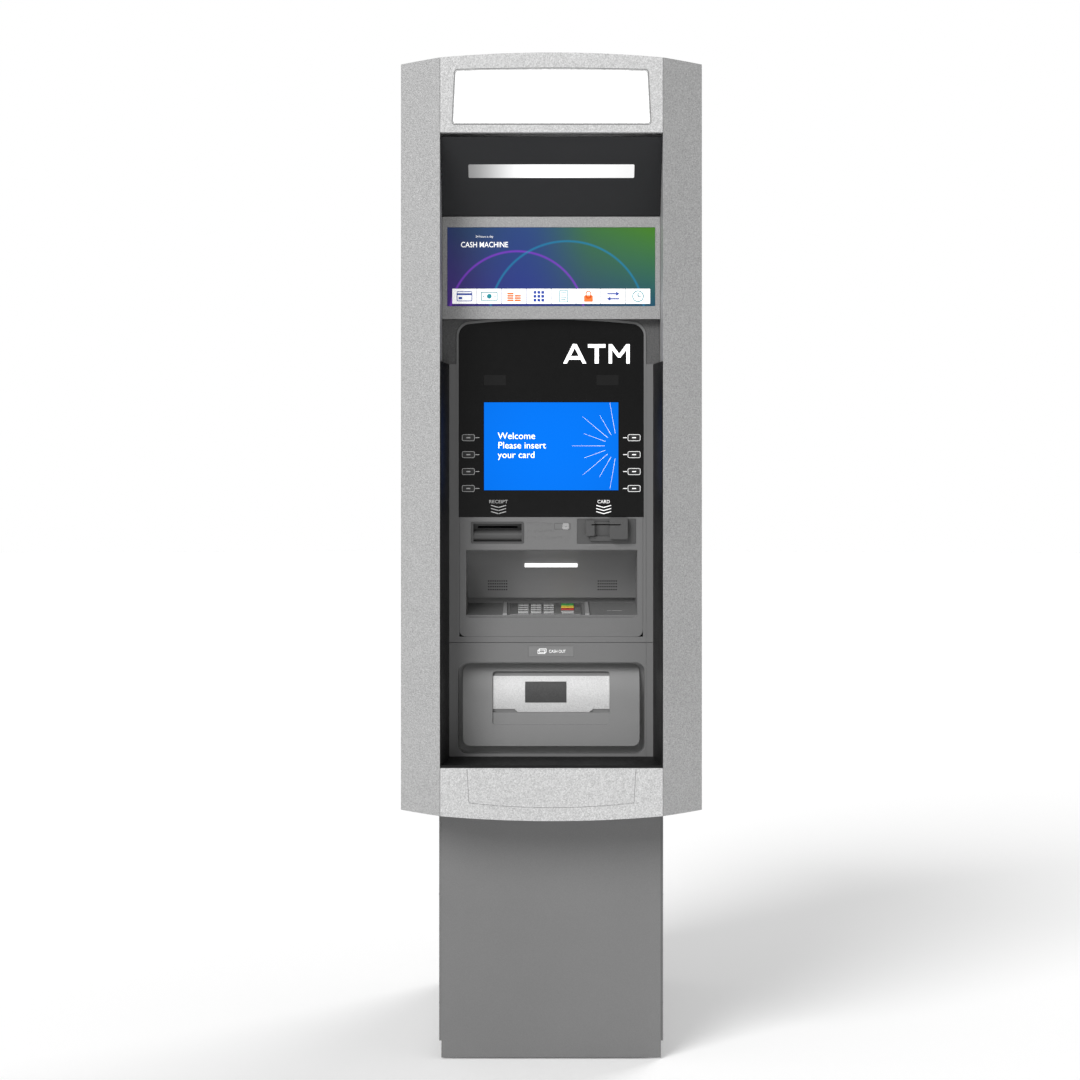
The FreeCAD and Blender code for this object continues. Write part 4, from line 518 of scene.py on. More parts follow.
# ---------------------------------------------------------------------------- finishes
@dataclass(frozen=True)
class Finish:
    """A surface: its colour, its sheen, its grain and how soft its edges look.

    Attributes:
        name: The material's name.
        colour: Base colour, linear.
        roughness: Mean roughness.
        metallic: Metallic share.
        grain: Grains to a metre.
        speckle: How far the grain changes the colour.
        relief: Depth of the grain in metres.
        soiling: How far broad blotches change the colour.
        edge: Radius that sharp edges are shaded with, in metres.
        coat: Weight of the clear coat.
        brushed: True for a brushed grain.
        specular: Specular level.
    """

    name: str
    colour: Colour
    roughness: float = 0.5
    metallic: float = 0.0
    grain: float = 900.0
    speckle: float = 0.1
    relief: float = 0.0001
    soiling: float = 0.06
    edge: float = 0.0008
    coat: float = 0.0
    brushed: bool = False
    specular: float = 0.5

    def material(self) -> bpy.types.Material:
        """Return the finish's material, building it the first time.

        Returns:
            The material.
        """
        found = bpy.data.materials.get(self.name)
        if found is not None:
            return found
        made = bpy.data.materials.new(self.name)
        made.use_nodes = True
        tree = made.node_tree
        shader = next(item for item in tree.nodes if item.type == "BSDF_PRINCIPLED")
        self._wire(Wiring(tree), shader)
        return made

    def _wire(self, wiring: Wiring, shader: bpy.types.Node) -> None:
        """Wire colour, roughness and relief into the shader.

        Args:
            wiring: The tree that it is built in.
            shader: The material's Principled shader.
        """
        grain = self._effect(wiring, Effect.BRUSHED if self.brushed else Effect.GRAIN,
                             self.grain, self.speckle)
        soiling = self._effect(wiring, Effect.SOILING, 4.0, self.soiling)
        factor = wiring.maths("MULTIPLY", grain.outputs["Factor"], soiling.outputs["Factor"])
        wiring.join(self._tinted(wiring, factor), shader.inputs["Base Color"])
        rough = wiring.spread(soiling.outputs["Height"], self.roughness * 0.9,
                              min(self.roughness * 1.12, 1.0))
        wiring.join(rough, shader.inputs["Roughness"])
        shader.inputs["Metallic"].default_value = self.metallic
        shader.inputs["Specular IOR Level"].default_value = self.specular
        shader.inputs["Coat Weight"].default_value = self.coat
        shader.inputs["Coat Roughness"].default_value = 0.08
        bump = wiring.node("Bump")
        bump.inputs["Strength"].default_value = 1.0
        bump.inputs["Distance"].default_value = self.relief
        wiring.join(grain.outputs["Height"], bump.inputs["Height"])
        if self.edge > 0.0:
            soft = wiring.node("Bevel", samples=4)
            soft.inputs["Radius"].default_value = self.edge
            wiring.join(soft.outputs["Normal"], bump.inputs["Normal"])
        wiring.join(bump.outputs["Normal"], shader.inputs["Normal"])

    def _tinted(self, wiring: Wiring, factor: Socket) -> Socket:
        """Return the base colour times the factor.

        Args:
            wiring: The tree that it is built in.
            factor: What the colour is multiplied by.

        Returns:
            The result's socket.
        """
        scaled = wiring.node("VectorMath", operation="SCALE")
        scaled.inputs[0].default_value = self.colour
        wiring.join(factor, scaled.inputs["Scale"])
        return scaled.outputs[0]

    @staticmethod
    def _effect(wiring: Wiring, effect: Effect, scale: float, amount: float) -> bpy.types.Node:
        """Place a shared effect with its own scale and amount.

        Args:
            wiring: The tree that it is built in.
            effect: The shared effect.
            scale: How fine the pattern is.
            amount: How far it changes the colour.

        Returns:
            The placed node.
        """
        made = wiring.node("Group", node_tree=effect.group())
        made.inputs["Scale"].default_value = scale
        made.inputs["Amount"].default_value = amount
        return made


@dataclass(frozen=True)
class Lit(Finish):
    """A diffuser, or a print that is given a glow.

    Attributes:
        glow: Strength of the light.
        falloff: Where the light starts and is full along X, or None for an even light.
        dimmest: The share of the glow at the dim end.
        tail: Where the light begins to fade again and where it ends, with falloff only.
        tail_share: The share of the glow at the far end.
    """

    glow: float = 1.0
    falloff: tuple[float, float] | None = None
    dimmest: float = 0.3
    tail: tuple[float, float] = (0.0, 0.18)
    tail_share: float = 0.75

    def _wire(self, wiring: Wiring, shader: bpy.types.Node) -> None:
        """Wire an opal surface whose light may fall off along X.

        Args:
            wiring: The tree that it is built in.
            shader: The material's Principled shader.
        """
        super()._wire(wiring, shader)
        shader.inputs["Emission Strength"].default_value = self.glow
        if self.falloff is None:
            shader.inputs["Emission Color"].default_value = (*self.colour, 1.0)
            return
        across = wiring.node("SeparateXYZ")
        wiring.join(wiring.place(), across.inputs[0])
        rise = wiring.spread(across.outputs["X"], self.dimmest, 1.0, *self.falloff, smooth=True)
        fade = wiring.spread(across.outputs["X"], 1.0, self.tail_share, *self.tail, smooth=True)
        share = wiring.maths("MULTIPLY", rise, fade)
        wiring.join(self._tinted(wiring, share), shader.inputs["Emission Color"])


@dataclass(frozen=True)
class Apron(Finish):
    """A coat with painted shade: it gives way to a darker copy of itself on the apron below a
    level.

    Attributes:
        split: The height where the painted shade ends.
        below: The painted shade's share of the colour.
    """

    split: float = 0.0
    below: float = 0.3

    def _tinted(self, wiring: Wiring, factor: Socket) -> Socket:
        """Return the coat's colour times the factor, darkened below the split as painted shade.

        Args:
            wiring: The tree that it is built in.
            factor: What the colour is multiplied by.

        Returns:
            The result's socket.
        """
        split = wiring.node("SeparateXYZ")
        wiring.join(wiring.place(), split.inputs[0])
        share = wiring.spread(split.outputs["Z"], self.below, 1.0, self.split - 0.0005, self.split)
        return super()._tinted(wiring, wiring.maths("MULTIPLY", factor, share))


@dataclass(frozen=True)
class ScreenGlow(Finish):
    """The lit screen: an even blue that is a little deeper towards its corners."""

    width: float = 0.3
    height: float = 0.2
    centre_z: float = 1.35

    def _wire(self, wiring: Wiring, shader: bpy.types.Node) -> None:
        """Wire a dark pane with a blue glow inside the picture's area.

        Args:
            wiring: The tree that it is built in.
            shader: The material's Principled shader.
        """
        super()._wire(wiring, shader)
        split = wiring.node("SeparateXYZ")
        wiring.join(wiring.place(), split.inputs[0])
        across = wiring.maths("ABSOLUTE", split.outputs["X"])
        above = wiring.maths("ABSOLUTE", wiring.maths("SUBTRACT", split.outputs["Z"],
                                                      self.centre_z))
        inside = wiring.maths("MULTIPLY",
                              wiring.maths("LESS_THAN", across, self.width / 2.0),
                              wiring.maths("LESS_THAN", above, self.height / 2.0))
        far = wiring.maths("ADD", wiring.maths("POWER", across, 2.0),
                           wiring.maths("POWER", above, 2.0))
        tone = wiring.spread(far, 1.0, 0.9, 0.0, 0.03)
        scaled = wiring.node("VectorMath", operation="SCALE")
        scaled.inputs[0].default_value = srgb(0, 124, 255)
        wiring.join(wiring.maths("MULTIPLY", tone, inside), scaled.inputs["Scale"])
        wiring.join(scaled.outputs[0], shader.inputs["Emission Color"])
        shader.inputs["Emission Strength"].default_value = 1.0


@dataclass(frozen=True)
class AdvertPicture(Finish):
    """A printed picture: a violet to blue to green field crossed by two soft arcs."""

    width: float = 0.45
    low: float = 1.656
    high: float = 1.829

    def _wire(self, wiring: Wiring, shader: bpy.types.Node) -> None:
        """Wire the field and the arcs into the base and a gentle glow.

        Args:
            wiring: The tree that it is built in.
            shader: The material's Principled shader.
        """
        super()._wire(wiring, shader)
        split = wiring.node("SeparateXYZ")
        wiring.join(wiring.place(), split.inputs[0])
        x, z = split.outputs["X"], split.outputs["Z"]
        across = wiring.spread(x, 0.0, 1.0, -self.width / 2.0, self.width / 2.0)
        upward = wiring.spread(z, 0.0, 1.0, self.low, self.high)
        low_row = wiring.mixed(across, srgb(66, 24, 134), srgb(24, 92, 120))
        high_row = wiring.mixed(across, srgb(24, 52, 112), srgb(78, 150, 30))
        field = wiring.mixed(upward, low_row, high_row)
        middle = wiring.spread(wiring.maths("ABSOLUTE", wiring.maths("ADD", x, 0.06)), 1.0, 0.0,
                               0.0, 0.16, smooth=True)
        field = wiring.mixed(wiring.maths("MULTIPLY", middle, 0.6), field, srgb(38, 60, 170))
        for centre, radius, tint in ((-0.075, 0.148, srgb(150, 60, 235)),
                                     (0.035, 0.17, srgb(20, 150, 200))):
            arc = self._arc(wiring, x, z, centre, self.low - 0.028, radius)
            field = wiring.mixed(arc, field, tint)
        wiring.join(wiring.mixed(0.65, field, (0.0, 0.0, 0.0)), shader.inputs["Base Color"])
        wiring.join(field, shader.inputs["Emission Color"])
        shader.inputs["Emission Strength"].default_value = 0.35

    @staticmethod
    def _arc(wiring: Wiring, x: Socket, z: Socket, centre_x: float, centre_z: float,
             radius: float) -> Socket:
        """Return a soft mask that is strongest at a distance of the radius from the centre.

        Args:
            wiring: The tree that it is built in.
            x: The X coordinate.
            z: The Z coordinate.
            centre_x: The arc's middle across.
            centre_z: The arc's middle upward.
            radius: The arc's radius.

        Returns:
            The result's socket.
        """
        du = wiring.maths("SUBTRACT", x, centre_x)
        dv = wiring.maths("SUBTRACT", z, centre_z)
        reach = wiring.maths("SQRT", wiring.maths("ADD", wiring.maths("POWER", du, 2.0),
                                                  wiring.maths("POWER", dv, 2.0)))
        away = wiring.maths("ABSOLUTE", wiring.maths("SUBTRACT", reach, radius))
        return wiring.spread(away, 0.75, 0.0, 0.0, 0.004, smooth=True)


SILVER = Finish("silver_sand_coat", grey(0.54), 0.52, 0.25, 340.0, 0.6, 0.0004, 0.05, 0.0009)
# The wings carry the header's silver coat, darkened as painted shade.
SHADED_WING_SILVER = Finish("silver_sand_coat_wings", grey(0.37), 0.52, 0.25, 340.0, 0.6, 0.0004, 0.05,
                     0.0009)
SHUTTER_SILVER = Finish("silver_shutter", grey(0.62), 0.42, 0.35, 520.0, 0.4, 0.00025, 0.04,
                        0.0006)
CHARCOAL = Finish("charcoal_coat", (0.014, 0.0145, 0.016), 0.5, 0.0, 800.0, 0.2, 0.00008,
                  specular=0.3)
LINER_BLACK = Finish("liner_black", grey(0.006), 0.5, 0.0, 900.0, 0.2, 0.00008, specular=0.2)
MOULDING = Finish("grey_moulding", grey(0.165), 0.46, 0.0, 1100.0, 0.1, 0.00008, 0.05, 0.001)
PANEL_GREY = Finish("grey_panel", grey(0.165), 0.42, 0.0, 1100.0, 0.1, 0.00008, 0.05, 0.001)
BULGE_GREY = Finish("grey_bulge", grey(0.235), 0.38, 0.0, 1100.0, 0.1, 0.00006, 0.05, 0.001)
GLOSS_BLACK = Finish("gloss_black", grey(0.005), 0.16, 0.0, 60.0, 0.2, 0.00001, 0.1, 0.0006,
                     specular=0.22)
KEY_BLACK = Finish("side_key_black", grey(0.008), 0.3, 0.0, 1200.0, 0.2, 0.00003, 0.1, 0.0008)
CHUTE = Finish("charcoal_moulding", grey(0.055), 0.34, 0.0, 1000.0, 0.12, 0.00006, 0.08, 0.0008)
READER = Finish("reader_moulding", grey(0.075), 0.36, 0.0, 1000.0, 0.12, 0.00006, 0.08, 0.0009)
PAD_STEEL = Finish("pad_steel", grey(0.5), 0.3, 0.9, 900.0, 0.3, 0.00005, 0.1, 0.0006, 0.0, True)
KEY_STEEL = Finish("key_steel", grey(0.62), 0.34, 0.75, 900.0, 0.3, 0.00004, 0.08, 0.0008, 0.0,
                   True)
KEY_GREEN = Finish("key_green", srgb(70, 150, 75), 0.35, 0.0, 1100.0, 0.12, 0.00003)
KEY_YELLOW = Finish("key_yellow", srgb(222, 200, 70), 0.35, 0.0, 1100.0, 0.12, 0.00003)
KEY_RED = Finish("key_red", srgb(190, 50, 45), 0.35, 0.0, 1100.0, 0.12, 0.00003)
CABINET_GREY = Finish("cabinet_grey", grey(0.17), 0.5, 0.05, 620.0, 0.16, 0.00014, 0.05, 0.001)
SAFE_GREY = Finish("safe_enamel", grey(0.1), 0.42, 0.1, 500.0, 0.12, 0.0001, 0.1, 0.0015)
STEEL = Finish("bright_steel", grey(0.55), 0.26, 1.0, 700.0, 0.3, 0.00005, 0.12, 0.0008, 0.0,
               True)
ZINC = Finish("zinc_sheet", (0.46, 0.47, 0.45), 0.36, 0.9, 30.0, 0.35, 0.00002, 0.2, 0.0006)
CHROME = Finish("plated_metal", grey(0.25), 0.22, 0.8, 900.0, 0.05, 0.00001, 0.1, 0.0004)
RUBBER = Finish("foot_rubber", grey(0.02), 0.75, 0.0, 900.0, 0.2, 0.0001, 0.2, 0.001)
CASSETTE = Finish("cassette_plastic", (0.04, 0.05, 0.08), 0.5, 0.0, 700.0, 0.15, 0.00012)
SPECKLED = Finish("speckled_window", grey(0.05), 0.4, 0.2, 560.0, 1.1, 0.00015, 0.1, 0.0004)
# Flat dark patches that stand for the grille holes: painted shade.
GRILLE_HOLE_SHADE = Finish("grille_hole_painted_shade", grey(0.012), 0.7, 0.0, 900.0, 0.1, 0.00002, 0.0, 0.0)
GASKET = Finish("window_gasket", grey(0.16), 0.5, 0.0, 900.0, 0.1, 0.00002, 0.0, 0.0)
DIM_LINE = Finish("moulded_outline", grey(0.07), 0.5, 0.0, 900.0, 0.1, 0.00002, 0.0, 0.0)
# White print with a glow that is painted light. Next, grey print: plain grey on the dial and the
# shelf, and on the left-hand legends the white print dimmed as painted shade.
WHITE_INK_PAINTED_GLOW = Lit("white_ink_painted_glow", grey(0.85), 0.4, glow=0.55)
GREY_INK_AND_PAINTED_SHADE = Lit("grey_ink_and_painted_shade", grey(0.42), 0.4, glow=0.12)
DARK_INK = Finish("dark_ink", grey(0.02), 0.5, 0.0, 900.0, 0.1, 0.00001, 0.0, 0.0)
SCREEN_WHITE = Lit("screen_white", grey(0.9), 0.3, glow=1.0)
HEADER_LIGHT = Lit("header_light", grey(0.96), 0.35, glow=1.0, edge=0.0)
SOFFIT_LIGHT = Lit("soffit_light", grey(0.18), 0.35, glow=5.6, edge=0.0,
                   falloff=(-0.19, -0.03), dimmest=0.1)
RECESS_LIGHT = Lit("recess_light", grey(0.95), 0.35, glow=1.2, edge=0.0)


def dress(finish: Finish, *nodes: str) -> None:
    """Give CAD nodes a finish.

    Args:
        finish: The finish.
        nodes: The nodes' names.
    """
    for name in nodes:
        item = frame["nodes"][name]
        item.data.materials.clear()
        item.data.materials.append(finish.material())
    LOG.info("%s on %s", finish.name, ", ".join(nodes))


def screws(stock: Stock, plane: Plane, places: Sequence[tuple[float, float]],
           radius: float) -> Stock:
    """Gather domed screw heads.

    Args:
        stock: Where they are gathered.
        plane: The surface that they stand on.
        places: Their places on it.
        radius: A head's radius.

    Returns:
        The stock.
    """
    turn = np.linspace(0.0, math.pi / 2.0, 5)
    profile = np.stack([np.cos(turn) * radius, np.sin(turn) * radius * 0.45], axis=1)
    profile[-1, 0] = radius * 0.12
    for place in places:
        stock.turned(plane, place, profile, 14)
    return stock


# ---------------------------------------------------------------------------- sub-assemblies
@dataclass
class Surround:
    """The silver surround: wings, header with its lit window, soffit and footer."""

    window_line: float = 1.5 * MILLI
    apron_height: float = 98.0 * MILLI
    window_rebate: float = 4.0 * MILLI
    window_rise: float = 3.1 * MILLI
    window_taper: float = 5.6 * MILLI
    window_corner: float = 5.0 * MILLI
    screw_radius: float = 3.5 * MILLI
    screw_rows: int = 7

    def build(self) -> None:
        """Dress the sheet metal and add the window's trim and the wings' screws."""
        dress(SHADED_WING_SILVER, "wing_left", "wing_right")
        dress(SILVER, "header_panel", "footer_panel", "footer_cover")
        # The advert frame is the silver coat darkened overall as painted shade, and darker still on
        # the apron below the split as painted shadow under the frame.
        apron = float(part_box("advert_frame")[0][2])
        dress(Apron("advert_surround", grey(0.33), 0.52, 0.25, 340.0, 0.5, 0.0004, 0.05, 0.0009,
                    split=apron + self.apron_height), "advert_frame")
        dress(HEADER_LIGHT, "header_light_window")
        dress(CHARCOAL, "soffit_panel")
        dress(SOFFIT_LIGHT, "soffit_lamp")
        self.wing_screws()
        self.window_outline()

    def window_shape(self, grow: float) -> np.ndarray:
        """Draw the lit window's outline: straight sides that lean in and a shallow arched top.

        Args:
            grow: How far it is grown all round.

        Returns:
            Anticlockwise points: four corner arcs, the upper two on an arch of the given rise.
        """
        low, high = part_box("header_light_window")
        half = float(high[0]) - self.window_rebate + grow
        foot = float(low[2]) + self.window_rebate - grow
        shoulder = float(high[2]) - self.window_rebate - self.window_rise + grow
        corner = self.window_corner + grow
        turn = np.linspace(0.0, math.pi / 2.0, 5)
        arcs = []
        for quarter, (u, v) in enumerate([(half - self.window_taper - corner, shoulder - corner),
                                          (corner - half + self.window_taper, shoulder - corner),
                                          (corner - half, foot + corner),
                                          (half - corner, foot + corner)]):
            angle = turn + quarter * math.pi / 2.0
            arcs.append(np.stack([u + corner * np.cos(angle), v + corner * np.sin(angle)], axis=1))
            if quarter == 0:
                across = np.linspace(u, -u, 17)[1:-1]
                bow = self.window_rise * (1.0 - (across / u) ** 2)
                arcs.append(np.stack([across, shoulder + bow], axis=1))
        return np.vstack(arcs)

    def window_outline(self) -> None:
        """Lay the thin grey gasket round the lit window."""
        low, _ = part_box("header_panel")
        plane = Plane((0.0, float(low[1]), 0.0))
        stock = Stock()
        stock.band(plane, self.window_shape(self.window_line), self.window_shape(0.0), -0.0005,
                   0.0003)
        stock.piece("window_gasket", GASKET, "machine", "silver_paint")

    def wing_screws(self) -> None:
        """Add the screws that hold each wing's leg to the alcove's side."""
        stock = Stock()
        for name, sign in (("wing_left", -1.0), ("wing_right", 1.0)):
            low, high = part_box(name)
            inner = min(abs(low[0]), abs(high[0])) + 2.5 * MILLI
            plane = Plane((sign * inner, high[1] - 0.02, 0.0), (0.0, sign, 0.0))
            levels = np.linspace(low[2] + 0.08, high[2] - 0.08, self.screw_rows)
            screws(stock, plane, [(0.0, float(level)) for level in levels], self.screw_radius)
        stock.piece("wing_screws", STEEL, "machine", "silver_paint")


@dataclass
class Advert:
    """The picture panel over the screen: a generic headline and a row of pictogram tiles."""

    tile_count: int = 8
    tile_gap: float = 0.9 * MILLI
    row_width: float = 433.0 * MILLI
    row_height: float = 33.0 * MILLI
    row_drop: float = 32.0 * MILLI
    plane: Plane = field(init=False)

    def __post_init__(self) -> None:
        """Find the panel's face."""
        low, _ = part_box("advert_panel")
        self.plane = Plane((0.0, low[1], low[2]))

    def build(self) -> None:
        """Dress the panel and add the headline and the tiles."""
        low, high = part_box("advert_panel")
        picture = AdvertPicture("advert_picture", grey(0.1), 0.2, speckle=0.0, relief=0.0,
                                soiling=0.0, edge=0.0, width=float(high[0] - low[0]),
                                low=float(low[2]), high=float(high[2]))
        dress(picture, "advert_panel")
        self.headline()
        self.tiles()

    def headline(self) -> None:
        """Add two plain lines of generic lettering."""
        stock = Stock()
        stock.lettering(self.plane, "CASH MACHINE", (-0.146, 0.1345), 12 * MILLI, 0.0,
                        0.3 * MILLI, 0.103, 0.008)
        stock.lettering(self.plane, "24 hours a day", (-0.146, 0.1515), 6 * MILLI, 0.0,
                        0.3 * MILLI)
        stock.piece("advert_headline", WHITE_INK_PAINTED_GLOW, "machine", "printed_film")

    def tiles(self) -> None:
        """Add the row of white tiles and one plain pictogram on each."""
        pitch = (self.row_width + self.tile_gap) / self.tile_count
        width = pitch - self.tile_gap
        cards = Stock()
        marks = {"tile_blue": Stock(), "tile_teal": Stock(), "tile_orange": Stock()}
        drawings = [self.card, self.note, self.coins, self.keypad, self.receipt, self.lock,
                    self.arrows, self.clock]
        level = self.row_drop - self.row_height / 2.0 + 0.006
        for index, drawing in enumerate(drawings):
            centre = (-self.row_width / 2.0 + width / 2.0 + index * pitch, level)
            cards.prism(self.plane, rounded(width, self.row_height, 0.6 * MILLI, centre, 2), 0.0,
                        0.25 * MILLI)
            tint = list(marks)[index % len(marks)]
            drawing(marks[tint], centre)
        cards.piece("advert_tiles", Lit("tile_white", grey(0.9), 0.35, glow=0.45), "machine",
                    "printed_film")
        tints = {"tile_blue": srgb(28, 60, 150), "tile_teal": srgb(0, 130, 140),
                 "tile_orange": srgb(225, 110, 40)}
        for name, stock in marks.items():
            stock.piece(name + "_marks", Lit(name, tints[name], 0.35, glow=0.3), "machine",
                        "printed_film")

    def mark(self, stock: Stock, outline: np.ndarray) -> None:
        """Print one flat shape of a pictogram."""
        stock.prism(self.plane, outline, 0.2 * MILLI, 0.45 * MILLI)

    def hollow(self, stock: Stock, width: float, height: float, radius: float,
               centre: tuple[float, float], line: float) -> None:
        """Print a rounded frame.

        Args:
            stock: Where the shapes are gathered.
            width: Overall width.
            height: Overall height.
            radius: Corner radius.
            centre: The middle of the drawing on the plane.
            line: Width of the line.
        """
        stock.band(self.plane, rounded(width, height, radius, centre),
                   rounded(width - 2 * line, height - 2 * line, max(radius - line, line / 4),
                           centre), 0.2 * MILLI, 0.45 * MILLI)

    def card(self, stock: Stock, centre: tuple[float, float]) -> None:
        """Draw a bank card: a frame, a stripe and a chip.

        Args:
            stock: Where the shapes are gathered.
            centre: The middle of the drawing on the plane.
        """
        u, v = centre
        self.hollow(stock, 0.034, 0.022, 0.003, centre, 0.0016)
        self.mark(stock, rounded(0.0312, 0.004, 0.0002, (u, v + 0.0045), 2))
        self.mark(stock, rounded(0.008, 0.005, 0.001, (u - 0.009, v - 0.004), 3))

    def note(self, stock: Stock, centre: tuple[float, float]) -> None:
        """Draw a banknote: a frame with a disc in its middle.

        Args:
            stock: Where the shapes are gathered.
            centre: The middle of the drawing on the plane.
        """
        u, v = centre
        self.hollow(stock, 0.036, 0.019, 0.001, centre, 0.0016)
        self.mark(stock, disc(0.0052, centre, 20))
        for side in (-1.0, 1.0):
            self.mark(stock, disc(0.0014, (u + side * 0.0125, v), 10))

    def coins(self, stock: Stock, centre: tuple[float, float]) -> None:
        """Draw two stacks of coins.

        Args:
            stock: Where the shapes are gathered.
            centre: The middle of the drawing on the plane.
        """
        u, v = centre
        for column, count in ((-0.008, 4), (0.008, 3)):
            for level in range(count):
                self.mark(stock, rounded(0.014, 0.0036, 0.0016,
                                         (u + column, v - 0.009 + level * 0.005), 4))

    def keypad(self, stock: Stock, centre: tuple[float, float]) -> None:
        """Draw a pad of nine keys.

        Args:
            stock: Where the shapes are gathered.
            centre: The middle of the drawing on the plane.
        """
        u, v = centre
        for row in range(3):
            for column in range(3):
                self.mark(stock, rounded(0.0062, 0.0062, 0.001,
                                         (u + (column - 1) * 0.0085, v + (row - 1) * 0.0085), 3))

    def receipt(self, stock: Stock, centre: tuple[float, float]) -> None:
        """Draw a printed slip.

        Args:
            stock: Where the shapes are gathered.
            centre: The middle of the drawing on the plane.
        """
        u, v = centre
        self.hollow(stock, 0.019, 0.026, 0.0008, centre, 0.0014)
        for line in range(4):
            self.mark(stock, rounded(0.012 - 0.002 * (line % 2), 0.0015, 0.0004,
                                     (u - 0.0005 * (line % 2), v + 0.0075 - line * 0.0048), 2))

    def lock(self, stock: Stock, centre: tuple[float, float]) -> None:
        """Draw a padlock.

        Args:
            stock: Where the shapes are gathered.
            centre: The middle of the drawing on the plane.
        """
        u, v = centre
        self.mark(stock, rounded(0.019, 0.014, 0.0018, (u, v - 0.005), 4))
        self.hollow(stock, 0.0125, 0.017, 0.006, (u, v + 0.0035), 0.0022)

    def arrows(self, stock: Stock, centre: tuple[float, float]) -> None:
        """Draw a pair of opposite arrows.

        Args:
            stock: Where the shapes are gathered.
            centre: The middle of the drawing on the plane.
        """
        u, v = centre
        for side in (-1.0, 1.0):
            level = v + side * 0.0055
            self.mark(stock, stroke((u - 0.013 * side, level), (u + 0.006 * side, level), 0.0028))
            head = np.array([(u + 0.006 * side, level - 0.0048 * side),
                             (u + 0.014 * side, level), (u + 0.006 * side, level + 0.0048 * side)])
            self.mark(stock, head)

    def clock(self, stock: Stock, centre: tuple[float, float]) -> None:
        """Draw a clock face.

        Args:
            stock: Where the shapes are gathered.
            centre: The middle of the drawing on the plane.
        """
        u, v = centre
        stock.band(self.plane, disc(0.0125, centre, 28), disc(0.0108, centre, 28), 0.2 * MILLI,
                   0.45 * MILLI)
        self.mark(stock, stroke((u, v - 0.001), (u, v + 0.0085), 0.0018))
        self.mark(stock, stroke((u - 0.001, v), (u + 0.006, v), 0.0018))


class Side(Enum):
    """The two columns of function keys."""

    LEFT = -1
    RIGHT = 1


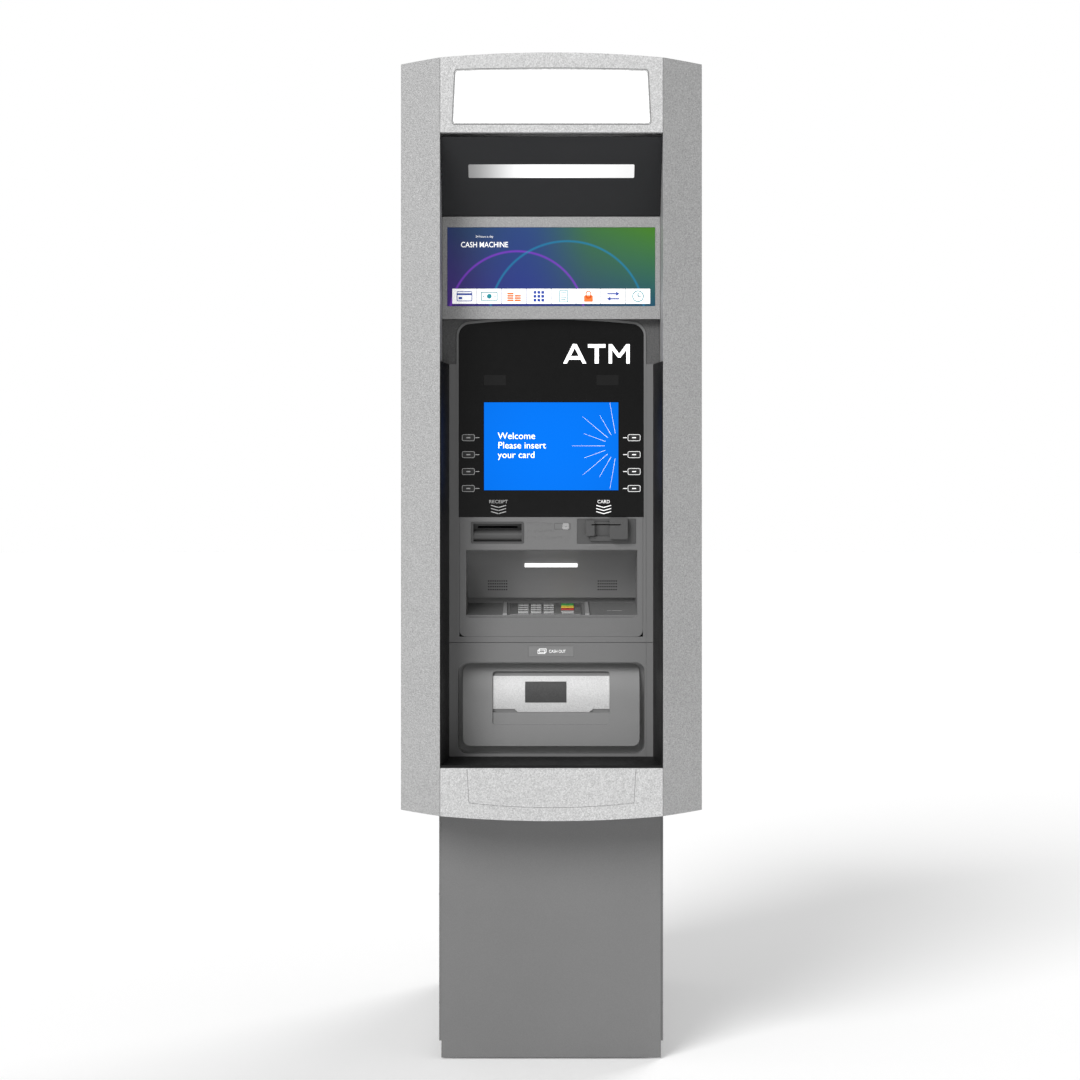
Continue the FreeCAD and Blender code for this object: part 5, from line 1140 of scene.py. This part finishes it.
@dataclass
class Bezel:
    """The gloss bezel with its printed legends, its side keys and the lit screen."""

    ink: float = 0.12 * MILLI
    key_line: float = 1.1 * MILLI
    keys: int = 4
    plane: Plane = field(init=False)

    def __post_init__(self) -> None:
        """Find the bezel's face."""
        low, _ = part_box("screen_bezel")
        self.plane = Plane((0.0, low[1], 0.0))

    def build(self) -> None:
        """Dress the bezel and print everything on it."""
        dress(GLOSS_BLACK, "screen_bezel")
        self.screen()
        self.title()
        self.sensors()
        for side in Side:
            self.side_keys(side)
        # RECEIPT, on the left, takes the dimmed ink as painted shade; CARD takes the white ink with
        # its painted glow.
        self.mouth_legend("RECEIPT", -0.1156, 0.0405, GREY_INK_AND_PAINTED_SHADE)
        self.mouth_legend("CARD", 0.1152, 0.027, WHITE_INK_PAINTED_GLOW)

    def screen(self) -> None:
        """Light the screen, and add a plain greeting and a fan of rays at its right edge."""
        bezel_low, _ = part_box("screen_bezel")
        pane = Plane((0.0, bezel_low[1] + 1.0 * MILLI, 0.0))
        middle = 1.3502
        dress(ScreenGlow("screen_glow", grey(0.0), 0.3, specular=0.05, speckle=0.0, relief=0.0,
                         soiling=0.0, edge=0.0, width=0.295, height=0.193, centre_z=middle),
              "display_module")
        words = Stock()
        words.lettering(pane, "Welcome\nPlease insert\nyour card", (-0.0645, middle), 0.0605, 0.0,
                        self.ink)
        words.piece("screen_words", SCREEN_WHITE, "machine", "display")
        rays = Stock()
        hub = np.array([0.1455, middle + 0.001])
        for index in range(9):
            angle = math.pi / 2.0 + (index + 0.5) * math.pi / 9.0
            if index == 4:
                angle = math.pi
            reach = 0.1 if index % 2 == 0 else 0.078
            along = np.array([math.cos(angle), math.sin(angle)])
            start = hub + along * 0.028
            limit = 0.0945 / max(abs(along[1]), 0.2)
            end = hub + along * min(reach, limit)
            rays.prism(pane, stroke(tuple(end), tuple(start), 0.35 * MILLI, 1.6), 0.0, self.ink)
        rays.piece("screen_rays", SCREEN_WHITE, "machine", "display")

    def title(self) -> None:
        """Print the three large letters at the bezel's top right, each from straight strokes."""
        stock = Stock()
        left, low = 0.0262, 1.5320
        high, bold = 0.0425, 0.0074
        bars = [
            [(0.0, 0.0), (bold * 1.12, 0.0), (0.0298, high), (0.0212, high)],
            [(0.0212, high), (0.0298, high), (0.0510, 0.0), (0.0510 - bold * 1.12, 0.0)][::-1],
            [(0.0110, 0.0085), (0.0400, 0.0085), (0.0370, 0.0162), (0.0140, 0.0162)],
            [(0.0545, high - 0.0078), (0.0930, high - 0.0078), (0.0930, high), (0.0545, high)],
            [(0.0694, 0.0), (0.0782, 0.0), (0.0782, high - 0.0078), (0.0694, high - 0.0078)],
            [(0.1000, 0.0), (0.1000 + bold, 0.0), (0.1000 + bold, high), (0.1000, high)],
            [(0.1462 - bold, 0.0), (0.1462, 0.0), (0.1462, high), (0.1462 - bold, high)],
            [(0.1000 + bold, high), (0.1000 + bold, high - 0.0125), (0.1200, 0.0135),
             (0.1262, 0.0135), (0.1231, 0.0215)],
            [(0.1462 - bold, high - 0.0125), (0.1462 - bold, high), (0.1231, 0.0215),
             (0.1200, 0.0135), (0.1262, 0.0135)],
        ]
        for bar in bars:
            outline = np.array(bar) + np.array([left, low])
            stock.prism(self.plane, outline, 0.0, self.ink)
        stock.piece("bezel_title", Lit("title_white", grey(0.95), 0.4, glow=0.9), "machine",
                    "black_gloss")

    def sensors(self) -> None:
        """Print the two faint windows of the proximity sensors."""
        stock = Stock()
        for centre in (-0.1238, 0.1238):
            stock.prism(self.plane, rounded(0.0485, 0.0225, 0.002, (centre, 1.4955), 4), 0.0,
                        self.ink / 2)
        stock.piece("sensor_windows", Finish("sensor_window", grey(0.008), 0.25, speckle=0.1,
                                             relief=0.0, specular=0.25), "machine", "black_gloss")

    def side_keys(self, side: Side) -> None:
        """Dress one column of keys, with a frame and dash on each and a leader beside it.

        Args:
            side: The side that is meant.
        """
        # The left column's legends take the dimmed ink as painted shade; the right column's take
        # the white ink with its painted glow.
        ink = WHITE_INK_PAINTED_GLOW if side is Side.RIGHT else GREY_INK_AND_PAINTED_SHADE
        leaders = Stock()
        for index in range(self.keys):
            name = f"function_key_{side.name.lower()}_{index + 1}"
            dress(KEY_BLACK, name)
            low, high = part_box(name)
            centre = (float(low[0] + high[0]) / 2.0, float(low[2] + high[2]) / 2.0)
            face = Plane((0.0, low[1], 0.0))
            width, height = float(high[0] - low[0]), float(high[2] - low[2])
            legend = Stock()
            legend.band(face, rounded(width - 0.0006, height - 0.0006, 0.0037, centre),
                        rounded(width - 0.0006 - 2 * self.key_line,
                                height - 0.0006 - 2 * self.key_line, 0.0026, centre), 0.0,
                        self.ink)
            legend.prism(face, rounded(0.0088, 0.0024, 0.0004, centre, 2), 0.0, self.ink)
            legend.piece(name + "_legend", ink, name, "black_gloss")
            inward = -side.value
            start = (centre[0] + inward * (width / 2.0 + 0.0012), centre[1])
            end = (start[0] + inward * 0.0088, centre[1])
            if inward < 0:
                start, end = end, start
            leaders.prism(self.plane, stroke(start, end, 0.0016), 0.0, self.ink)
        leaders.piece(f"leaders_{side.name.lower()}", ink, "machine", "black_gloss")

    def mouth_legend(self, word: str, centre: float, width: float, ink: Finish) -> None:
        """Print a mouth's name and three chevrons that point down at it.

        Args:
            word: The word.
            centre: The X coordinate of its middle.
            width: Width of the whole lettering.
            ink: What it is printed with.
        """
        stock = Stock()
        stock.lettering(self.plane, word, (centre, 1.2287), 0.0072, 0.0, self.ink, width, 0.004)
        for row in range(3):
            level = 1.2205 - row * 0.0068
            for sign in (-1.0, 1.0):
                start, end = (centre - 0.0005 * sign, level - 0.0048), (centre + 0.0165 * sign,
                                                                       level)
                if sign < 0:
                    start, end = end, start
                stock.prism(self.plane, stroke(start, end, 0.0018), 0.0, self.ink)
        stock.piece(f"legend_{word.lower()}", ink, "machine", "black_gloss")


@dataclass
class KeypadPanel:
    """The grey panel with the keypad recess, speaker grilles, braille and mouth labels."""

    grille_columns: int = 9
    grille_rows: int = 4
    grille_pitch: float = 5.0 * MILLI
    grille_hole: float = 3.1 * MILLI
    plane: Plane = field(init=False)
    recess_radius: float = 140.0 * MILLI
    recess_axis: tuple[float, float] = (-432.4 * MILLI, 987.3 * MILLI)

    def __post_init__(self) -> None:
        """Find the panel's face."""
        low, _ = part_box("keypad_panel")
        self.plane = Plane((0.0, low[1], 0.0))

    def build(self) -> None:
        """Dress the mouldings and add their small detail."""
        dress(PANEL_GREY, "keypad_panel")
        dress(MOULDING, "upper_frame", "lower_fascia")
        dress(LINER_BLACK, "alcove_liner", "receipt_printer")
        dress(RECESS_LIGHT, "keypad_lamp")
        dress(CHUTE, "receipt_chute")
        dress(READER, "card_reader")
        dress(CHROME, "headphone_jack")
        self.grilles()
        self.braille()
        self.ribs()
        self.labels()

    def wall_plane(self, angle: float, side: float) -> Plane:
        """Return the plane that touches the recess's curved wall at an angle from level.

        Args:
            angle: The angle from level, in radians.
            side: The X coordinate of the plane's origin.

        Returns:
            The plane.
        """
        out = np.array([0.0, -math.cos(angle), -math.sin(angle)])
        up = np.array([0.0, -math.sin(angle), math.cos(angle)])
        centre = np.array([side, *self.recess_axis])
        point = centre - self.recess_radius * out
        return Plane(tuple(point), (1.0, 0.0, 0.0), tuple(up))

    def grilles(self) -> None:
        """Add the two speaker grilles: rows of flat dark patches on the curved wall, painted shade
        for the holes.
        """
        stock = Stock()
        for row in range(self.grille_rows):
            angle = math.radians(27.0 - row * 2.9)
            for side in (-0.1192, 0.1258):
                plane = self.wall_plane(angle, side)
                for column in range(self.grille_columns):
                    place = ((column - (self.grille_columns - 1) / 2.0) * self.grille_pitch, 0.0)
                    stock.prism(plane, rounded(self.grille_hole, self.grille_hole,
                                               self.grille_hole / 5.0, place, 3), -0.3 * MILLI,
                                0.1 * MILLI)
        stock.piece("speaker_grilles", GRILLE_HOLE_SHADE, "machine", "grey_moulding")

    def braille(self) -> None:
        """Add rows of raised dots between the mouths and under them."""
        stock = Stock()
        turn = np.linspace(0.0, math.pi / 2.0, 4)
        dome = np.stack([np.cos(turn) * 0.8, np.sin(turn) * 0.5], axis=1) * MILLI
        dome[-1, 0] = 0.1 * MILLI
        cells = [(0, 1, 3), (0, 2), (1, 2, 4), (0, 3, 4), (1, 3, 5), (0, 1, 2, 4), (2, 3), (0, 4)]
        runs = [(-0.052, 1.1826, 8), (-0.052, 1.166, 14), (-0.052, 1.1512, 13), (-0.152, 1.1305, 9),
                (0.082, 1.1305, 7), (-0.045, 0.8805, 0)]
        for start, level, count in runs:
            for cell in range(count):
                if level > 1.16 and 0.012 < start + cell * 0.0072 < 0.05:
                    continue
                for dot in cells[(cell * 3 + count) % len(cells)]:
                    place = (start + cell * 0.0072 + (dot // 3) * 0.0025,
                             level - (dot % 3) * 0.0025)
                    stock.turned(self.plane, place, dome, 8)
        stock.piece("braille_dots", PANEL_GREY, "machine", "grey_moulding")

    def ribs(self) -> None:
        """Add the tapered rib each side of the pin pad, on the sloping shelf."""
        plane = pad_plane()
        stock = Stock()
        for centre in (-0.1018, 0.0795):
            outline = np.array([(centre - 0.0048, 0.004), (centre + 0.0048, 0.004),
                                (centre + 0.0036, 0.116), (centre - 0.0036, 0.116)])
            stock.prism(plane, outline, -0.004, 0.0035)
        stock.piece("shelf_ribs", Finish("rib_grey", grey(0.3), 0.4, relief=0.00005), "machine",
                    "grey_moulding")
        symbol = Stock()
        symbol.band(plane, disc(0.004, (0.128, 0.045), 18), disc(0.003, (0.128, 0.045), 18), 0.0,
                    0.15 * MILLI)
        symbol.prism(plane, rounded(0.022, 0.003, 0.001, (0.146, 0.045), 3), 0.0, 0.15 * MILLI)
        symbol.piece("shelf_symbol", GREY_INK_AND_PAINTED_SHADE, "machine", "grey_moulding")

    def labels(self) -> None:
        """Add a raised outline round one label, between the two mouths."""
        stock = Stock()
        for width, height, centre in ((0.036, 0.0135, (0.0248, 1.1745)),):
            stock.band(self.plane, rounded(width, height, 0.002, centre),
                       rounded(width - 0.0016, height - 0.0016, 0.0013, centre), 0.0,
                       0.3 * MILLI)
        stock.piece("label_outlines", DIM_LINE, "machine", "grey_moulding")


def pad_plane() -> Plane:
    """Return the pin pad shelf's plane, its origin at the shelf's front edge.

    Returns:
        A plane that rises backwards by the pad's tilt, found from a key's travel direction.
    """
    joint = next(item for item in frame["joints"] if item["name"] == "key_5_press")
    press = np.array(joint["axis"], dtype=float)
    up = np.array([0.0, -press[2], press[1]])
    low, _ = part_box("keypad_panel")
    return Plane((0.0, float(low[1]), 979.0 * MILLI), (1.0, 0.0, 0.0), tuple(up))


@dataclass
class PinPad:
    """The steel pin pad: its plate, its sixteen keys and their characters."""

    proud: float = 3.6 * MILLI
    ink: float = 0.15 * MILLI

    def build(self) -> None:
        """Dress the plate and the keys, and cut a character into each."""
        dress(PAD_STEEL, "keypad_body")
        plane = pad_plane()
        marks = {str(digit): str(digit) for digit in range(10)}
        marks.update({"star": "*", "hash": "#", "enter": "O", "clear": "<", "cancel": "X"})
        finishes = {"enter": KEY_GREEN, "clear": KEY_YELLOW, "cancel": KEY_RED}
        up = np.array(plane.up)
        for name in [*marks, "blank"]:
            node = f"key_{name}"
            dress(finishes.get(name, KEY_STEEL), node)
            if name not in marks:
                continue
            low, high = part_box(node)
            middle = (np.array(low) + np.array(high)) / 2.0 - np.array(plane.origin)
            centre = (float(middle[0]), float(middle @ up))
            stock = Stock()
            height = 0.0062 if name not in ("clear", "star") else 0.0048
            stock.lettering(plane, marks[name], centre, height, self.proud, self.proud + self.ink,
                            weight=0.004)
            stock.piece(f"{node}_mark", DARK_INK, node, "steel_key")


@dataclass
class CashOutlet:
    """The cash pocket: its bulged panel, its curved shutter and its label."""

    plane: Plane = field(init=False)

    def __post_init__(self) -> None:
        """Find the lower frame's face."""
        low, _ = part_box("lower_fascia")
        self.plane = Plane((0.0, low[1], 0.0))

    def build(self) -> None:
        """Dress the outlet and add its label and the shutter's window."""
        dress(BULGE_GREY, "cash_fascia")
        dress(SHUTTER_SILVER, "cash_shutter")
        self.label()
        self.shutter_window()

    def label(self) -> None:
        """Print a generic label in its shallow seat: two notes and the outlet's name."""
        seat = Plane((0.0, self.plane.origin[1] + 0.8 * MILLI, 0.0))
        plate = Stock().prism(seat, rounded(0.0992, 0.0232, 0.0018, (0.0, 0.9)), 0.0, 0.5 * MILLI)
        plate.piece("cash_label", Finish("label_grey", grey(0.2), 0.4, relief=0.00004), "machine",
                    "grey_moulding")
        face = Plane((0.0, seat.origin[1] - 0.5 * MILLI, 0.0))
        stock = Stock()
        stock.lettering(face, "CASH OUT", (0.0135, 0.9), 0.0066, 0.0, 0.15 * MILLI, 0.0365, 0.004)
        for shift in (0.0, 0.0028):
            centre = (-0.0215 + shift, 0.8988 + shift)
            stock.band(face, rounded(0.0165, 0.0088, 0.0012, centre),
                       rounded(0.0141, 0.0064, 0.0006, centre), 0.0, 0.15 * MILLI)
        stock.piece("cash_label_words", WHITE_INK_PAINTED_GLOW, "machine", "grey_moulding")

    def shutter_window(self) -> None:
        """Lay a dark speckled window in the shutter's shallow recess, on the shutter's curve."""
        joint = next(item for item in frame["joints"] if item["name"] == "shutter_lift")
        axis_y, axis_z = joint["pos_m"][1], joint["pos_m"][2]
        radius = (132.0 - 4.2 - 0.4) * MILLI
        across = np.array([-57.2, 33.7]) * MILLI
        levels = np.arcsin((np.array([786.3, 831.7]) * MILLI - axis_z) / radius)
        angle = np.linspace(levels[0], levels[1], 12)
        stock = Stock()
        rings = []
        for reach in (radius - 0.75 * MILLI, radius - 0.25 * MILLI):
            for x in across:
                rings.append(np.stack([np.full(12, x), axis_y - reach * np.cos(angle),
                                       axis_z + reach * np.sin(angle)], axis=1))
        index = np.arange(11)
        faces = []
        for first, second in ((0, 1), (3, 2), (2, 0), (1, 3)):
            faces.extend(tuple(row) for row in np.stack(
                [index + first * 12, index + second * 12, index + 1 + second * 12,
                 index + 1 + first * 12], axis=1))
        faces.extend([(0, 24, 36, 12), (11, 23, 47, 35)])
        stock.add(np.vstack(rings), faces)
        stock.piece("shutter_window", SPECKLED, "shutter", "silver_paint")


@dataclass
class Cabinet:
    """The cabinet, its rear door with louvres, the safe and the equipment inside."""

    louvre_rows: int = 12
    louvre_pitch: float = 14.0 * MILLI
    louvre_drop: float = 8.0 * MILLI
    louvre_swell: float = 3.2 * MILLI
    side_banks: tuple[float, ...] = (0.22, 0.34)
    side_bank_top: float = 1.62
    side_louvre_width: float = 0.09
    door_banks: tuple[float, ...] = (-0.07, 0.07)
    door_bank_top: float = 1.72
    door_louvre_width: float = 0.11
    screw_radius: float = 3.2 * MILLI
    dial_ticks_round: int = 50

    def build(self) -> None:
        """Dress the cabinet's nodes and add louvres, screws and the dial's ticks."""
        dress(CABINET_GREY, "front_cover", "cabinet_shell", "rear_door")
        dress(SAFE_GREY, "safe_body", "safe_door")
        dress(STEEL, "safe_bolts", "safe_handle", "rear_door_lock")
        dress(Finish("dial_black", grey(0.03), 0.35, relief=0.00003), "combination_dial")
        dress(RUBBER, "levelling_feet")
        dress(ZINC, "cash_dispenser")
        dress(CASSETTE, "cash_cassette")
        self.louvres()
        self.side_screws()
        self.dial_ticks()

    def louvres(self) -> None:
        """Add pressed louvres on both sides and on the rear door."""
        half = float(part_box("front_cover")[1][0]) + 0.005
        stock = Stock()
        for sign in (-1.0, 1.0):
            plane = Plane((sign * half, 0.0, 0.0), (0.0, sign, 0.0))
            for column in self.side_banks:
                self.louvre_bank(stock, plane, sign * column, self.side_bank_top,
                                 self.side_louvre_width)
        stock.piece("side_louvres", CABINET_GREY, "machine", "grey_paint")
        _, door_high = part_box("rear_door")
        door = Plane((0.0, door_high[1], 0.0), (-1.0, 0.0, 0.0))
        bank = Stock()
        for column in self.door_banks:
            self.louvre_bank(bank, door, column, self.door_bank_top, self.door_louvre_width)
        bank.piece("door_louvres", CABINET_GREY, "rear_door", "grey_paint")

    def louvre_bank(self, stock: Stock, plane: Plane, centre: float, top: float,
                    width: float) -> None:
        """Gather a bank of louvres: each a half-round hood that swells out and closes at its top.

        Args:
            stock: Where they are gathered.
            plane: The panel's face.
            centre: The bank's middle across the panel.
            top: The height of its highest louvre.
            width: A louvre's width.
        """
        s = np.linspace(-1.0, 1.0, 15)
        r = np.linspace(0.0, 1.0, 5)
        grid_s, grid_r = np.meshgrid(s, r, indexing="ij")
        swell = np.sqrt(np.clip(1.0 - grid_s ** 4, 0.0, 1.0)) * np.sin(grid_r * math.pi / 2.0)
        index = np.arange(14 * 4)
        corner = (index // 4) * 5 + index % 4
        for row in range(self.louvre_rows):
            level = top - row * self.louvre_pitch
            flat = np.stack([centre + grid_s * width / 2.0, level - grid_r * self.louvre_drop],
                            axis=-1)
            points = plane.lift(flat.reshape(-1, 2), (swell * self.louvre_swell).reshape(-1))
            faces = np.stack([corner, corner + 1, corner + 6, corner + 5], axis=1)
            stock.add(points, [tuple(face) for face in faces])

    def side_screws(self) -> None:
        """Add the rows of screws along the cabinet's side edges and the header's back."""
        stock = Stock()
        for sign in (-1.0, 1.0):
            plane = Plane((sign * 0.247, 0.0, 0.0), (0.0, sign, 0.0))
            levels = np.linspace(0.12, 1.8, 8)
            places = [(sign * -0.355, float(level)) for level in levels]
            places += [(sign * 0.46, float(level)) for level in levels if level > 1.0]
            screws(stock, plane, places, self.screw_radius)
        stock.piece("side_screws", STEEL, "machine", "grey_paint")

    def dial_ticks(self) -> None:
        """Print the dial's fifty ticks, every fifth one longer."""
        joint = next(item for item in frame["joints"] if item["name"] == "dial_turn")
        centre = np.array([-joint["pos_m"][0], joint["pos_m"][2]])
        plane = Plane((0.0, 0.479, 0.0), (-1.0, 0.0, 0.0))
        stock = Stock()
        for tick in range(self.dial_ticks_round):
            angle = tick * math.tau / self.dial_ticks_round
            along = np.array([math.cos(angle), math.sin(angle)])
            inner = 0.0275 if tick % 5 == 0 else 0.031
            stock.prism(plane, stroke(tuple(centre + along * inner), tuple(centre + along * 0.0345),
                                      0.0007), -0.0001, 0.0001)
        stock.piece("dial_ticks", GREY_INK_AND_PAINTED_SHADE, "dial", "bright_steel")


@dataclass
class Studio:
    """The pale floor, the soft lights and the camera."""

    distance: float = 5.0
    eye_height: float = 1.2630
    eye_offset: float = -0.0246
    focal_length: float = 77.87
    shift: float = -0.05
    key_towards: tuple[float, float, float] = (-0.435, -0.726, 0.532)
    key_strength: float = 2.3
    rim_towards: tuple[float, float, float] = (0.45, 0.75, 0.55)
    rim_strength: float = 1.2
    softness: float = 0.5
    ambience: float = 0.42

    def build(self) -> None:
        """Set the floor, the lights and the camera."""
        self.floor()
        self.world()
        self.sun("key_light", self.key_towards, self.key_strength)
        self.sun("rim_light", self.rim_towards, self.rim_strength)
        self.camera()
        bpy.context.scene.view_settings.view_transform = "Standard"

    def floor(self) -> None:
        """Lay a wide pale floor."""
        plane = Plane((0.0, 0.0, 0.0), (1.0, 0.0, 0.0), (0.0, 1.0, 0.0))
        points = plane.lift(disc(40.0, (0.0, 0.0), 64), 0.0)
        mesh = bpy.data.meshes.new("floor")
        mesh.from_pydata(points.tolist(), [], [tuple(range(64))])
        mesh.materials.append(Lit("pale_floor", grey(0.92), 0.9, 0.0, 30.0, 0.0, 0.0, 0.0, 0.0,
                                  specular=0.0, glow=0.1).material())
        item = bpy.data.objects.new("floor", mesh)
        bpy.context.scene.collection.objects.link(item)

    def world(self) -> None:
        """Surround the machine with an even pale sky that looks white behind it."""
        world = bpy.data.worlds.new("studio")
        bpy.context.scene.world = world
        world.use_nodes = True
        wiring = Wiring(world.node_tree)
        sky = next(item for item in world.node_tree.nodes if item.type == "BACKGROUND")
        path = wiring.node("LightPath")
        strength = wiring.spread(path.outputs["Is Camera Ray"], self.ambience, 1.0)
        sky.inputs["Color"].default_value = (1.0, 1.0, 1.0, 1.0)
        wiring.join(strength, sky.inputs["Strength"])

    def sun(self, name: str, towards: tuple[float, float, float], strength: float) -> None:
        """Set a broad soft light far away.

        Args:
            name: The light's name.
            towards: The direction from the machine to the light.
            strength: Its strength.
        """
        light = bpy.data.lights.new(name, "SUN")
        light.angle = self.softness
        light.energy = strength
        item = bpy.data.objects.new(name, light)
        bpy.context.scene.collection.objects.link(item)
        level = math.hypot(towards[0], towards[1])
        item.rotation_euler = (math.atan2(level, towards[2]), 0.0,
                               math.atan2(towards[1], towards[0]) + math.pi / 2.0)

    def camera(self) -> None:
        """Stand a level camera in front of the machine, its frame shifted a little downwards."""
        data = bpy.data.cameras.new("camera")
        data.lens = self.focal_length
        data.sensor_width = 36.0
        data.shift_y = self.shift
        data.clip_end = 200.0
        item = bpy.data.objects.new("camera", data)
        bpy.context.scene.collection.objects.link(item)
        front = float(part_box("header_panel")[0][1])
        item.location = (self.eye_offset, front - self.distance, self.eye_height)
        item.rotation_euler = (math.pi / 2.0, 0.0, 0.0)
        bpy.context.scene.camera = item


def main() -> None:
    """Dress the machine, sub-assembly by sub-assembly, and set the studio."""
    logging.basicConfig(level=logging.INFO, format="%(name)s %(message)s")
    for part in (Surround(), Advert(), Bezel(), KeypadPanel(), PinPad(), CashOutlet(), Cabinet()):
        part.build()
    Studio().build()


if __name__ == "__main__":
    main()
